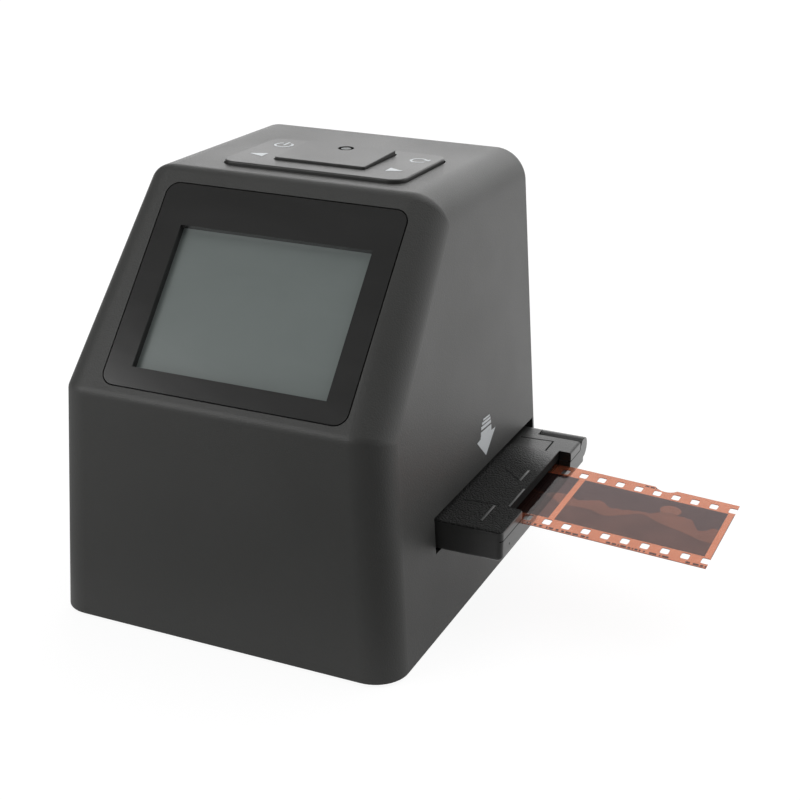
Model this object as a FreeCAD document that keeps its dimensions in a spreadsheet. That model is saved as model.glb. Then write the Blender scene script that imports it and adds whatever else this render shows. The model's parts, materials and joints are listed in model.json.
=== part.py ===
"""Film negative scanner: a desk unit with a sloped display, keys on top and a film tray through its side.

The part stands on z = 0 with +Z up. X runs along the film's way through the scanner, +X is the side that
the tray is pulled out of, and -Y is the front with the display. Lengths are millimetres.
"""
import FreeCAD, Part
import math
import os
import Sketcher
from FreeCAD import Placement, Rotation, Vector

SIZES = [
    # housing
    ("base_width", 89.4, "width of the housing where it stands"),
    ("top_width", 75.8, "width of the housing at its top"),
    ("base_depth", 95.3, "depth of the housing where it stands"),
    ("body_height", 101.3, "housing, from its lower rim to its top"),
    ("belt_height", 57.4, "housing, from its lower rim to the foot of the slope"),
    ("top_depth", 53.85, "depth of the housing's level top"),
    ("front_lean", 1.55, "how far the front wall leans back up to the slope"),
    ("rear_lean", 2.6, "how far the rear wall leans forward up to the top"),
    ("wall", 2.0, "housing wall"),
    ("side_round", 8.0, "rounding of the upright front edges and the edges of slope and top"),
    ("belt_round", 3.0, "rounding of the edges at the foot and head of the slope"),
    ("rear_round", 1.5, "rounding of the rear edges"),
    ("foot_stand", 0.8, "gap under the housing that its feet make"),
    ("overrun", 3.0, "how far every cut runs past its face"),
    ("fit_gap", 0.2, "gap between pieces that drop into each other"),
    ("run_gap", 0.35, "gap round pieces that move"),
    ("screw_gap", 0.05, "gap round a screw's thread"),
    # base
    ("base_thick", 2.4, "base plate"),
    ("base_post_radius", 3.2, "screw posts of the housing"),
    ("base_post_height", 15.0, "screw posts, above the base plate"),
    ("base_post_inset", 6.6, "post axes, in from the housing's outer sides"),
    ("rib_thick", 1.6, "ribs that join the posts to the side walls"),
    ("base_screw_radius", 1.3, "base screws, thread"),
    ("base_screw_length", 8.0, "base screws, thread"),
    ("screw_head_radius", 2.5, "heads of the base screws"),
    ("screw_head_height", 1.4, "heads of the base screws"),
    ("foot_radius", 5.0, "rubber feet"),
    ("foot_sink", 0.9, "depth of the feet in the base plate"),
    ("foot_inset_x", 14.7, "feet, in from the outer sides of the housing's foot"),
    ("foot_inset_y", 12.65, "feet, in from the front and rear of the housing's foot"),
    # screen
    ("panel_margin", 7.4, "screen panel, in from the sides of the top"),
    ("panel_shift", 1.1, "screen panel, sideways from the middle"),
    ("panel_rise", 2.7, "slope below the screen panel"),
    ("panel_head", 4.4, "slope above the screen panel"),
    ("panel_thick", 1.7, "screen panel"),
    ("panel_round", 3.0, "corners of the screen panel"),
    ("panel_gap", 0.3, "groove round the screen panel"),
    ("window_margin", 6.2, "panel beside the display window"),
    ("window_foot", 4.9, "panel below the display window"),
    ("window_head", 10.3, "panel above the display window"),
    ("window_shift", 0.4, "display window, sideways from the panel's middle"),
    ("display_margin", 3.1, "display glass beyond the window on each side"),
    ("glass_thick", 1.6, "display glass"),
    ("frame_thick", 0.5, "sheet of the display frame"),
    ("frame_depth", 3.4, "display frame behind the glass"),
    ("backlight_thick", 2.4, "backlight plate of the display"),
    ("backing_thick", 5.0, "thick zone of the slope that carries the display"),
    ("backing_margin", 2.0, "thick zone beyond the panel"),
    ("ear_width", 4.0, "screw ears of the display frame"),
    ("ear_height", 6.0, "screw ears of the display frame"),
    ("small_screw_radius", 0.9, "thread of the small screws"),
    ("small_screw_length", 4.0, "thread of the small screws"),
    ("small_head_radius", 1.7, "heads of the small screws"),
    ("small_head_height", 1.1, "heads of the small screws"),
    # keys
    ("key_margin", 14.55, "key plate, in from the sides of the top"),
    ("key_shift", 2.15, "key plate, sideways from the middle"),
    ("key_depth", 27.8, "key plate, front to back"),
    ("key_setback", 5.8, "key plate, back from the front edge of the top"),
    ("key_rise", 0.9, "key plate above the top"),
    ("key_thick", 4.6, "key plate, over all"),
    ("key_round", 3.6, "corners of the key plate"),
    ("key_edge", 0.4, "rounding of the upper rim of the key plate"),
    ("key_flange", 1.5, "flange of the key plate beyond its sides"),
    ("key_flange_thick", 0.8, "flange of the key plate"),
    ("enter_width", 23.5, "enter button"),
    ("enter_shift", 0.5, "enter button, left of the middle of the key plate"),
    ("enter_depth", 17.9, "enter button, front to back"),
    ("enter_setback", 6.2, "enter button, back from the front of the key plate"),
    ("enter_rise", 0.6, "front of the enter button above the key plate"),
    ("enter_slant", 0.45, "rear of the enter button above its front"),
    ("enter_round", 0.7, "corners of the enter button"),
    ("enter_edge", 0.2, "rounding of the upper rim of the enter button"),
    ("enter_flange", 1.2, "flange of the enter button, left and right"),
    ("enter_flange_thick", 0.8, "flange of the enter button"),
    ("enter_rebate", 2.4, "rebate under the key plate for that flange"),
    ("enter_flange_gap", 0.5, "gap between flange and rebate"),
    ("enter_stem_radius", 2.0, "stem of the enter button"),
    ("key_travel_gap", 0.45, "room under a key to be pressed"),
    ("mat_thick", 1.2, "key mat"),
    ("mat_margin", 2.6, "key mat, in from the sides of the key plate"),
    ("mat_pad_radius", 2.6, "raised pads of the key mat"),
    ("mat_pad_share_x", 0.36, "pads of the key mat, share of the plate's width from the middle"),
    ("mat_pad_share_y", 0.27, "pads of the key mat, share of the plate's depth from the middle"),
    ("board_thick", 1.2, "thickness of the small boards"),
    ("key_board_margin", 7.6, "key board beyond the sides of the key plate"),
    ("key_post_radius", 2.4, "posts under the top that carry the key board"),
    ("key_post_reach", 5.0, "posts, out from the sides of the key plate"),
    ("key_post_spread", 10.5, "posts, front and back from the middle of the key plate"),
    ("switch_size", 4.5, "enter switch"),
    ("switch_height", 1.5, "enter switch"),
    ("ring_radius", 1.95, "ring of the status light"),
    ("ring_bore", 1.2, "bore of the ring"),
    ("ring_sink", 0.2, "ring below the rear of the enter button"),
    ("ring_setback", 3.4, "ring, in from the rear edge of the enter button"),
    ("glass_gap", 0.05, "gap round the lens elements"),
    ("light_rise", 0.05, "light guide above its ring"),
    ("led_size", 1.2, "status light emitter"),
    ("led_height", 0.8, "emitters"),
    # main board
    ("main_margin", 4.9, "main board, in from the sides of the top"),
    ("main_top_gap", 10.1, "main board, below the top of the housing"),
    ("main_low", 36.0, "lower edge of the main board above the table"),
    ("main_thick", 1.6, "main board"),
    ("main_post_length", 5.4, "posts of the rear wall that carry the main board"),
    ("main_post_radius", 2.8, "posts of the rear wall"),
    ("main_post_inset", 4.0, "posts, in from the edges of the main board"),
    ("chip_size", 13.0, "main chip"),
    ("chip_height", 1.4, "chips"),
    ("small_chip_size", 8.0, "small chips"),
    ("capacitor_radius", 2.0, "capacitors"),
    ("capacitor_height", 4.4, "capacitors"),
    ("card_height", 26.0, "memory card socket, along the wall"),
    ("card_length", 28.0, "memory card socket"),
    ("card_thick", 3.0, "memory card socket"),
    ("card_sheet", 0.4, "walls of the memory card socket"),
    ("usb_width", 7.8, "cable socket"),
    ("usb_height", 3.8, "cable socket"),
    ("usb_sheet", 0.4, "walls of the cable socket"),
    ("usb_shift", 15.0, "cable socket, sideways from the middle"),
    ("usb_drop", 14.0, "cable socket, its lower side below the upper edge of the main board"),
    ("usb_sink", 1.0, "mouth of the cable socket inside the rear face"),
    # tray
    ("film_width", 35.0, "film strip"),
    ("film_thick", 0.16, "film strip"),
    ("film_right", 102.1, "right end of the film strip"),
    ("film_bend", 59.6, "where the film strip starts to hang down"),
    ("film_droop", 2.1, "how far the right end of the film strip hangs down"),
    ("film_lift", 3.5, "underside of the film above the underside of the tray"),
    ("perforation_pitch", 4.75, "perforations along the film"),
    ("perforation_rows", 28.17, "distance between the rows of perforations"),
    ("perforation_length", 1.98, "perforations, along the film"),
    ("perforation_width", 2.79, "perforations, across the film"),
    ("perforation_round", 0.5, "corners of the perforations"),
    ("perforation_end", 0.83, "middle of the last perforation before the film's end"),
    ("notch_radius", 3.0, "edge notches of the film"),
    ("notch_depth", 1.7, "edge notches of the film"),
    ("frame_pitch", 38.0, "pictures along the film"),
    ("notch_from_end", 18.4, "first edge notch before the film's end"),
    ("axis_shift", 7.5, "lens axis, towards the tray's handle end"),
    ("tray_right", 58.4, "right end of the tray"),
    ("tray_left", 40.6, "left end of the tray, left of the middle"),
    ("tray_width", 63.0, "tray, front to back"),
    ("tray_back", 3.95, "rear face of the tray, in from the foot of the housing's rear"),
    ("tray_corner", 1.4, "upright corners of the tray"),
    ("tray_edge", 0.8, "lower edges of the tray"),
    ("tray_low", 22.1, "underside of the tray above the table"),
    ("tray_lower_height", 4.9, "lower half of the tray"),
    ("lid_height", 2.4, "lid of the tray"),
    ("lid_edge", 0.7, "upper edges of the lid"),
    ("channel_gap", 0.25, "film channel beyond the film's edges"),
    ("channel_play", 0.1, "gap under the film"),
    ("pressure_gap", 0.14, "gap over the film"),
    ("picture_length", 36.5, "picture window of the tray"),
    ("picture_width", 24.5, "picture window of the tray"),
    ("mouth_width", 36.0, "mouth of the lid"),
    ("mouth_depth", 3.2, "mouth of the lid"),
    ("barrel_radius", 2.7, "hinge barrel of the tray"),
    ("knuckle_length", 11.4, "outer knuckles of the hinge"),
    ("hinge_gap", 0.3, "gaps between hinge pieces"),
    ("pin_radius", 0.8, "hinge pin"),
    ("pin_cap", 1.0, "closed right end of the pin's bore"),
    ("magnet_radius", 2.0, "magnets of the tray"),
    ("magnet_height", 1.2, "magnets and keepers of the tray"),
    ("magnet_inset", 6.6, "magnets, in from the near face of the tray"),
    ("magnet_spread", 30.0, "magnets, left and right of the lens axis"),
    ("slot_front_gap", 2.0, "tray slot before the tray"),
    ("slot_rear_gap", 1.1, "tray slot behind the tray"),
    ("slot_low_gap", 0.3, "tray slot under the tray"),
    ("slot_top_gap", 1.5, "tray slot over the tray"),
    ("slit_margin", 1.0, "film slit beyond the film's edges"),
    ("slit_drop", 1.2, "film slit under the film"),
    ("slit_height", 3.4, "film slit"),
    # tunnel
    ("guide_half", 39.0, "guides, from the middle to each end"),
    ("guide_thick", 2.0, "plates of the guides"),
    ("rail_thick", 1.0, "front rail of the lower guide"),
    ("guide_leg_radius", 2.6, "legs of the lower guide"),
    ("guide_leg_x", 28.0, "legs, left and right of the middle"),
    ("guide_leg_inset", 3.6, "legs, in from the edges of the lower guide"),
    ("aperture_margin", 1.5, "openings of the guides round the picture"),
    ("spring_length", 16.0, "detent spring"),
    ("spring_height", 3.0, "detent spring"),
    ("spring_thick", 0.3, "detent spring"),
    ("spring_bow", 0.35, "bow of the detent spring"),
    # light
    ("light_length", 48.0, "light box"),
    ("light_width", 34.0, "light box"),
    ("light_wall", 1.5, "light box"),
    ("light_board_lift", 1.5, "LED board above the floor of the light box"),
    ("diffuser_thick", 2.0, "diffuser"),
    ("stud_share", 0.8, "studs of the LED board, share of its half sides from its middle"),
    ("emitter_size", 3.5, "LEDs"),
    ("emitter_pitch_x", 12.0, "LEDs along the film"),
    ("emitter_pitch_y", 10.0, "LEDs across the film"),
    # optics
    ("funnel_length", 46.0, "foot of the lens funnel, along the film"),
    ("funnel_width", 34.0, "foot of the lens funnel, across the film"),
    ("funnel_top", 24.0, "head of the lens funnel, square"),
    ("sensor_gap", 9.8, "room between the sensor board and the key board"),
    ("funnel_wall", 1.8, "lens funnel"),
    ("mount_height", 15.0, "lens mount"),
    ("mount_floor", 8.0, "threaded part of the lens mount"),
    ("barrel_bore_gap", 0.05, "gap round the lens barrel"),
    ("lens_radius", 7.0, "lens barrel"),
    ("lens_length", 10.0, "lens barrel"),
    ("lens_hang", 3.0, "lens barrel below its mount"),
    ("glass_radius", 5.0, "lens elements"),
    ("glass_middle", 2.6, "lens elements, thickness in the middle"),
    ("glass_rim", 1.2, "lens elements, thickness at the rim"),
    ("light_stop", 3.6, "inner stop of the lens barrel"),
    ("sensor_size", 12.0, "image sensor"),
    ("sensor_thick", 1.6, "image sensor"),
    ("sensor_screw_reach", 9.6, "sensor screws, from the lens axis"),
    # cables
    ("ribbon_thick", 0.2, "ribbon cables"),
    ("display_ribbon", 12.0, "ribbon cable of the display"),
    ("key_ribbon", 8.0, "ribbon cable of the key board"),
    ("sensor_ribbon", 10.0, "ribbon cable of the image sensor"),
    ("light_ribbon", 4.0, "cable of the LED board"),
    ("light_cable_thick", 1.0, "cable of the LED board"),
    ("connector_length", 3.0, "cable connectors"),
    ("connector_height", 2.0, "cable connectors"),
]


class Size:
    """A number together with the expression that ties it to the sheet of sizes."""

    def __init__(self, number, text):
        self.number = number
        self.text = text

    def __add__(self, other):
        return Size(self.number + other.number, f"({self.text} + {other.text})")

    def __sub__(self, other):
        return Size(self.number - other.number, f"({self.text} - {other.text})")

    def __neg__(self):
        return Size(-self.number, f"(-{self.text})")

    def __mul__(self, other):
        if isinstance(other, Size):
            return Size(self.number * other.number, f"({self.text} * {other.text})")
        return Size(self.number * other, f"({self.text} * {other})")

    def __truediv__(self, other):
        if isinstance(other, Size):
            return Size(self.number / other.number, f"({self.text} / {other.text})")
        return Size(self.number / other, f"({self.text} / {other})")


class Sheet:
    """The spreadsheet of driving sizes, read as attributes."""

    def __init__(self, document, sizes):
        sheet = document.addObject("Spreadsheet::Sheet", "Sizes")
        for row, (name, number, note) in enumerate(sizes, start=1):
            sheet.set(f"A{row}", note)
            sheet.set(f"B{row}", str(number))
            sheet.setAlias(f"B{row}", name)
            setattr(self, name, Size(number, f"Sizes.{name}"))
        document.recompute()


doc = FreeCAD.newDocument("FilmScanner")
S = Sheet(doc, SIZES)
ZERO = Size(0.0, "0")
NEAR = 1e-4
parts = []


def root(size):
    """The square root of a size that is a square."""
    return Size(math.sqrt(size.number), f"sqrt({size.text})")


def part(thing, label):
    """Makes an object a sub-part: its label names its file."""
    thing.Label = label
    parts.append(thing)
    return thing


def move(thing, at):
    """Binds an object's place to three sizes."""
    for axis, size in zip("xyz", at):
        thing.setExpression(f"Placement.Base.{axis}", size.text)


# Places that many pieces share

half_depth = S.base_depth / 2
half_base = S.base_width / 2
body_low = S.foot_stand
body_top = body_low + S.body_height
belt_z = body_low + S.belt_height
belt_y = S.front_lean - half_depth
slope_run = S.base_depth - S.front_lean - S.rear_lean - S.top_depth
slope_rise = S.body_height - S.belt_height
slope_length = root(slope_run * slope_run + slope_rise * slope_rise)
slope_cos = slope_run / slope_length
slope_sin = slope_rise / slope_length
slope_angle = Size(math.degrees(math.atan2(slope_rise.number, slope_run.number)),
                   f"atan2({slope_rise.text}; {slope_run.text})")
top_front = belt_y + slope_run
side_lean = (S.base_width - S.top_width) / 2
floor_z = body_low + S.base_thick


def side_at(z):
    """Distance of the housing's outer side from the middle at height z."""
    return half_base - side_lean * ((z - body_low) / S.body_height)


def rear_at(z):
    """Distance of the housing's outer rear face from the middle at height z."""
    return half_depth - S.rear_lean * ((z - body_low) / S.body_height)


def on_slope(u, v, w):
    """The point u sideways, v up the slope from its foot and w out of its face."""
    return (u, belt_y + v * slope_cos - w * slope_sin, belt_z + v * slope_sin + w * slope_cos)


def tilt(thing, u, v, w):
    """Lays an object that was drawn flat onto the slope."""
    thing.Placement = Placement(Vector(), Rotation(Vector(1, 0, 0), slope_angle.number))
    move(thing, on_slope(u, v, w))
    thing.setExpression("Placement.Rotation.Angle", slope_angle.text)
    return thing


# Simple solids

def box(name, low, high):
    """A box between two corners."""
    thing = doc.addObject("Part::Box", name)
    for edge, a, b in zip(("Length", "Width", "Height"), low, high):
        thing.setExpression(edge, (b - a).text)
    move(thing, low)
    return thing


def slope_box(name, low, high):
    """A box between two corners given on the slope."""
    thing = doc.addObject("Part::Box", name)
    for edge, a, b in zip(("Length", "Width", "Height"), low, high):
        thing.setExpression(edge, (b - a).text)
    return tilt(thing, *low)


TURNS = {"x": Rotation(Vector(0, 1, 0), 90), "y": Rotation(Vector(1, 0, 0), -90), "z": Rotation()}


def rod(name, start, radius, length, axis="z"):
    """A cylinder that starts at a point and runs along an axis."""
    thing = doc.addObject("Part::Cylinder", name)
    thing.Placement = Placement(Vector(), TURNS[axis])
    thing.setExpression("Radius", radius.text)
    thing.setExpression("Height", length.text)
    move(thing, start)
    return thing


def slope_rod(name, start, radius, length):
    """A cylinder that starts at a point on the slope and runs out of it."""
    thing = doc.addObject("Part::Cylinder", name)
    thing.setExpression("Radius", radius.text)
    thing.setExpression("Height", length.text)
    return tilt(thing, *start)


def fuse(name, things):
    """One solid out of several that touch."""
    thing = doc.addObject("Part::MultiFuse", name)
    thing.Shapes = things
    thing.Refine = True
    return thing


def common(name, base, tool):
    """What two solids share."""
    thing = doc.addObject("Part::Common", name)
    thing.Base = base
    thing.Tool = tool
    return thing


def cut(name, base, tools):
    """A solid with one or more tools cut out of it."""
    tool = tools[0]
    if len(tools) > 1:
        tool = doc.addObject("Part::MultiFuse", f"{name}_tools")
        tool.Shapes = tools
    thing = doc.addObject("Part::Cut", name)
    thing.Base = base
    thing.Tool = tool
    thing.Refine = True
    return thing


def group(name, things):
    """Separate solids that share one node."""
    thing = doc.addObject("Part::Compound", name)
    thing.Links = things
    return thing


def tube(name, start, radius, bore, length):
    """An upright cylinder with a bore right through."""
    x, y, z = start
    hole = rod(f"{name}_bore", (x, y, z - S.overrun), bore, length + S.overrun * 2)
    return cut(name, rod(f"{name}_outer", start, radius, length), [hole])


def screw(name, start, radius, length, head_radius, head_height, axis="z", turn=1):
    """A pan-head screw: the head lies against its seat at start, on the side the screw comes from."""
    along = "xyz".index(axis)
    thread = list(start)
    head = list(start)
    if turn < 0:
        thread[along] = start[along] - length
    else:
        head[along] = start[along] - head_height
    shaft = rod(f"{name}_thread", thread, radius, length, axis)
    cap = rod(f"{name}_head", head, head_radius, head_height, axis)
    return fuse(name, [shaft, cap])


# Bodies drawn from sketches

def new_body(name):
    return doc.addObject("PartDesign::Body", name)


def sketch_on(body, role, offset, name):
    """A sketch on one of the body's own planes, moved along the plane's normal."""
    sketch = body.newObject("Sketcher::SketchObject", name)
    plane = [feature for feature in body.Origin.OriginFeatures if feature.Role == role][0]
    sketch.AttachmentSupport = [(plane, "")]
    sketch.MapMode = "FlatFace"
    sketch.setExpression("AttachmentOffset.Base.z", offset.text)
    return sketch


def pin_point(sketch, edge, end, point):
    """Ties one end of a sketch edge to two sizes."""
    for kind, size in zip(("DistanceX", "DistanceY"), point):
        index = sketch.addConstraint(Sketcher.Constraint(kind, -1, 1, edge, end, size.number))
        sketch.setExpression(f"Constraints[{index}]", size.text)


def draw_outline(sketch, points):
    """A closed outline of straight edges through the points."""
    first = sketch.GeometryCount
    for index, point in enumerate(points):
        after = points[(index + 1) % len(points)]
        edge = Part.LineSegment(Vector(point[0].number, point[1].number, 0),
                                Vector(after[0].number, after[1].number, 0))
        sketch.addGeometry(edge, False)
    for index, point in enumerate(points):
        after = first + (index + 1) % len(points)
        sketch.addConstraint(Sketcher.Constraint("Coincident", first + index, 2, after, 1))
        pin_point(sketch, first + index, 1, point)


def draw_rectangle(sketch, low, high):
    draw_outline(sketch, [low, (high[0], low[1]), high, (low[0], high[1])])


def draw_rounded(sketch, low, high, radius):
    """A rectangle with round corners: four edges pinned at both ends, and four arcs between them."""
    first = sketch.GeometryCount
    edges = [
        ((low[0] + radius, low[1]), (high[0] - radius, low[1])),
        ((high[0], low[1] + radius), (high[0], high[1] - radius)),
        ((high[0] - radius, high[1]), (low[0] + radius, high[1])),
        ((low[0], high[1] - radius), (low[0], low[1] + radius)),
    ]
    centres = [(high[0] - radius, low[1] + radius), (high[0] - radius, high[1] - radius),
               (low[0] + radius, high[1] - radius), (low[0] + radius, low[1] + radius)]
    for start, end in edges:
        sketch.addGeometry(Part.LineSegment(Vector(start[0].number, start[1].number, 0),
                                            Vector(end[0].number, end[1].number, 0)), False)
    for index, centre in enumerate(centres):
        middle = Vector(centre[0].number, centre[1].number, 0)
        circle = Part.Circle(middle, Vector(0, 0, 1), radius.number)
        turn = math.pi / 2 * (index - 1)
        sketch.addGeometry(Part.ArcOfCircle(circle, turn, turn + math.pi / 2), False)
    for index, (start, end) in enumerate(edges):
        pin_point(sketch, first + index, 1, start)
        pin_point(sketch, first + index, 2, end)
    for index in range(len(edges)):
        arc = first + len(edges) + index
        after = first + (index + 1) % len(edges)
        sketch.addConstraint(Sketcher.Constraint("Coincident", first + index, 2, arc, 1))
        sketch.addConstraint(Sketcher.Constraint("Coincident", arc, 2, after, 1))
        bound = sketch.addConstraint(Sketcher.Constraint("Radius", arc, radius.number))
        sketch.setExpression(f"Constraints[{bound}]", radius.text)


def draw_circle(sketch, centre, radius):
    circle = Part.Circle(Vector(centre[0].number, centre[1].number, 0), Vector(0, 0, 1), radius.number)
    edge = sketch.addGeometry(circle, False)
    pin_point(sketch, edge, 3, centre)
    index = sketch.addConstraint(Sketcher.Constraint("Radius", edge, radius.number))
    sketch.setExpression(f"Constraints[{index}]", radius.text)


def pad(body, sketch, length, side="One side"):
    feature = body.newObject("PartDesign::Pad", f"{sketch.Name}_pad")
    feature.Profile = sketch
    feature.SideType = side
    feature.setExpression("Length", length.text)
    doc.recompute()
    return feature


def pocket(body, sketch, length, side="One side", backwards=False):
    """Cuts along the sketch's reversed normal, or along the normal when backwards."""
    before = body.Tip.Shape.Volume
    feature = body.newObject("PartDesign::Pocket", f"{sketch.Name}_pocket")
    feature.Profile = sketch
    feature.SideType = side
    feature.Reversed = backwards
    feature.setExpression("Length", length.text)
    doc.recompute()
    if feature.Shape.Volume >= before:
        raise RuntimeError(f"{feature.Name} cuts nothing")
    return feature


def revolve(body, sketch):
    """Turns a profile round the sketch's upright axis."""
    feature = body.newObject("PartDesign::Revolution", f"{sketch.Name}_turn")
    feature.Profile = sketch
    feature.ReferenceAxis = (sketch, ["V_Axis"])
    feature.Angle = 360
    doc.recompute()
    return feature


def round_edges(body, radius, chosen):
    """Rounds the edges of the body's last feature that the test picks."""
    base = body.Tip
    names = [f"Edge{index}" for index, edge in enumerate(base.Shape.Edges, start=1) if chosen(edge)]
    if not names:
        raise RuntimeError(f"{body.Name} has no such edge to round")
    feature = body.newObject("PartDesign::Fillet", f"{body.Name}_rounding")
    feature.Base = (base, names)
    feature.setExpression("Radius", radius.text)
    doc.recompute()
    return feature


def is_upright(edge):
    bounds = edge.BoundBox
    return bounds.ZLength > 10 * (bounds.XLength + bounds.YLength)


def at_height(z):
    """A test for level edges at a height."""
    return lambda edge: (abs(edge.BoundBox.ZMin - z.number) < NEAR
                         and abs(edge.BoundBox.ZMax - z.number) < NEAR)


def block(name, low, high, radius=None):
    """A body: a padded rectangle, its upright edges rounded where a radius is given."""
    body = new_body(name)
    sketch = sketch_on(body, "XY_Plane", low[2], f"{name}_outline")
    draw_rectangle(sketch, low[:2], high[:2])
    pad(body, sketch, high[2] - low[2])
    if radius is not None:
        round_edges(body, radius, is_upright)
    return body


def ribbon(name, points, low_x, high_x, thick):
    """A flat cable: a thin band along straight runs in the YZ plane, each corner cut square."""
    body = new_body(name)
    sketch = sketch_on(body, "YZ_Plane", low_x, f"{name}_run")
    upper = [(y, z + thick) for y, z in reversed(points)]
    draw_outline(sketch, list(points) + upper)
    pad(body, sketch, high_x - low_x)
    return body


# Housing

def housing_form(name, inset, low):
    """The drafted form of the housing, or, moved in by the wall, the hollow inside it."""
    body = new_body(name)
    foot_drop = inset * ((slope_length - slope_rise) / slope_run)
    head_back = inset * ((slope_length - slope_run) / slope_rise)
    side = sketch_on(body, "YZ_Plane", ZERO, f"{name}_side")
    draw_outline(side, [
        (inset - half_depth, low),
        (belt_y + inset, belt_z - foot_drop),
        (top_front + head_back, body_top - inset),
        (half_depth - S.rear_lean - inset, body_top - inset),
        (half_depth - inset, low),
    ])
    pad(body, side, S.base_width + S.top_width, "Symmetric")
    front = sketch_on(body, "XZ_Plane", ZERO, f"{name}_front")
    low_side = side_at(low) - inset
    top_side = side_at(body_top - inset) - inset
    outside = (S.base_width + S.top_width) / 2 + S.overrun
    top = body_top - inset
    draw_outline(front, [(low_side, low), (outside, low), (outside, top), (top_side, top)])
    draw_outline(front, [(-low_side, low), (-top_side, top), (-outside, top), (-outside, low)])
    pocket(body, front, S.base_depth + S.overrun, "Symmetric")

    rear_top = (half_depth - S.rear_lean - inset).number

    def is_side(edge):
        centre = edge.CenterOfMass
        level = edge.BoundBox.ZMax < low.number + NEAR
        return abs(centre.x) > top_side.number / 2 and centre.y < rear_top - S.side_round.number and not level

    def is_rear(edge):
        centre = edge.CenterOfMass
        level = edge.BoundBox.ZMax < low.number + NEAR
        return centre.y > rear_top - NEAR and not level

    def is_bend(edge):
        centre = edge.CenterOfMass
        across = edge.BoundBox.XLength > top_side.number
        return across and centre.y < 0 and centre.z > belt_z.number / 2

    round_edges(body, S.side_round - inset, is_side)
    if inset is ZERO:
        round_edges(body, S.rear_round, is_rear)
    round_edges(body, S.belt_round - inset, is_bend)
    return body


post_x = half_base - S.base_post_inset
post_y = half_depth - S.base_post_inset
post_top = floor_z + S.base_post_height
post_places = [(x, y) for x in (-post_x, post_x) for y in (-post_y, post_y)]

key_front = top_front + S.key_setback
key_rear = key_front + S.key_depth
key_middle = (key_front + key_rear) / 2
key_width = S.top_width - S.key_margin * 2
half_key = key_width / 2
key_left = S.key_shift - half_key
key_right = S.key_shift + half_key
enter_x = S.key_shift - S.enter_shift
key_top = body_top + S.key_rise
key_low = key_top - S.key_thick
mat_top = key_low - S.key_travel_gap
mat_low = mat_top - S.mat_thick
key_board_top = mat_low - S.key_travel_gap
key_board_low = key_board_top - S.board_thick
key_post_places = [(x, y) for x in (key_left - S.key_post_reach, key_right + S.key_post_reach)
                   for y in (key_middle - S.key_post_spread, key_middle + S.key_post_spread)]

main_back = rear_at(S.main_low) - S.wall - S.main_post_length
main_front = main_back - S.main_thick
main_top = body_top - S.main_top_gap
main_middle = (S.main_low + main_top) / 2
main_half = S.top_width / 2 - S.main_margin
main_post_x = main_half - S.main_post_inset
main_post_places = [(x, z) for x in (-main_post_x, main_post_x)
                    for z in (S.main_low + S.main_post_inset, main_top - S.main_post_inset)]

tray_far = half_depth - S.tray_back
tray_near = tray_far - S.tray_width
film_middle = (tray_near + tray_far) / 2
parting = S.tray_low + S.tray_lower_height
tray_top = parting + S.lid_height
slot_front = tray_near - S.slot_front_gap
slot_rear = tray_far + S.slot_rear_gap
slot_low = S.tray_low - S.slot_low_gap
slot_top = tray_top + S.slot_top_gap

card_low = main_middle - S.card_height / 2
card_left = -(side_at(card_low + S.card_height) - S.wall - S.fit_gap)
usb_low = main_top - S.usb_drop
panel_width = S.top_width - S.panel_margin * 2
panel_left = S.panel_shift - panel_width / 2
panel_right = S.panel_shift + panel_width / 2
panel_height = slope_length - S.panel_rise - S.panel_head
window_rise = S.panel_rise + S.window_foot
window_height = panel_height - S.window_foot - S.window_head
window_left = panel_left + S.window_margin + S.window_shift
window_right = panel_right - S.window_margin + S.window_shift
glass_low_u = window_left - S.display_margin
glass_high_u = window_right + S.display_margin
glass_low_v = window_rise - S.display_margin
glass_high_v = window_rise + window_height + S.display_margin
glass_back = -(S.panel_thick + S.glass_thick)
frame_back = glass_back - S.frame_depth
ear_w = -S.backing_thick
ear_v = [glass_low_v + S.ear_height, glass_high_v - S.ear_height * 2]
screw_u = [glass_low_u - S.fit_gap - S.ear_width / 2, glass_high_u + S.fit_gap + S.ear_width / 2]


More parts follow.
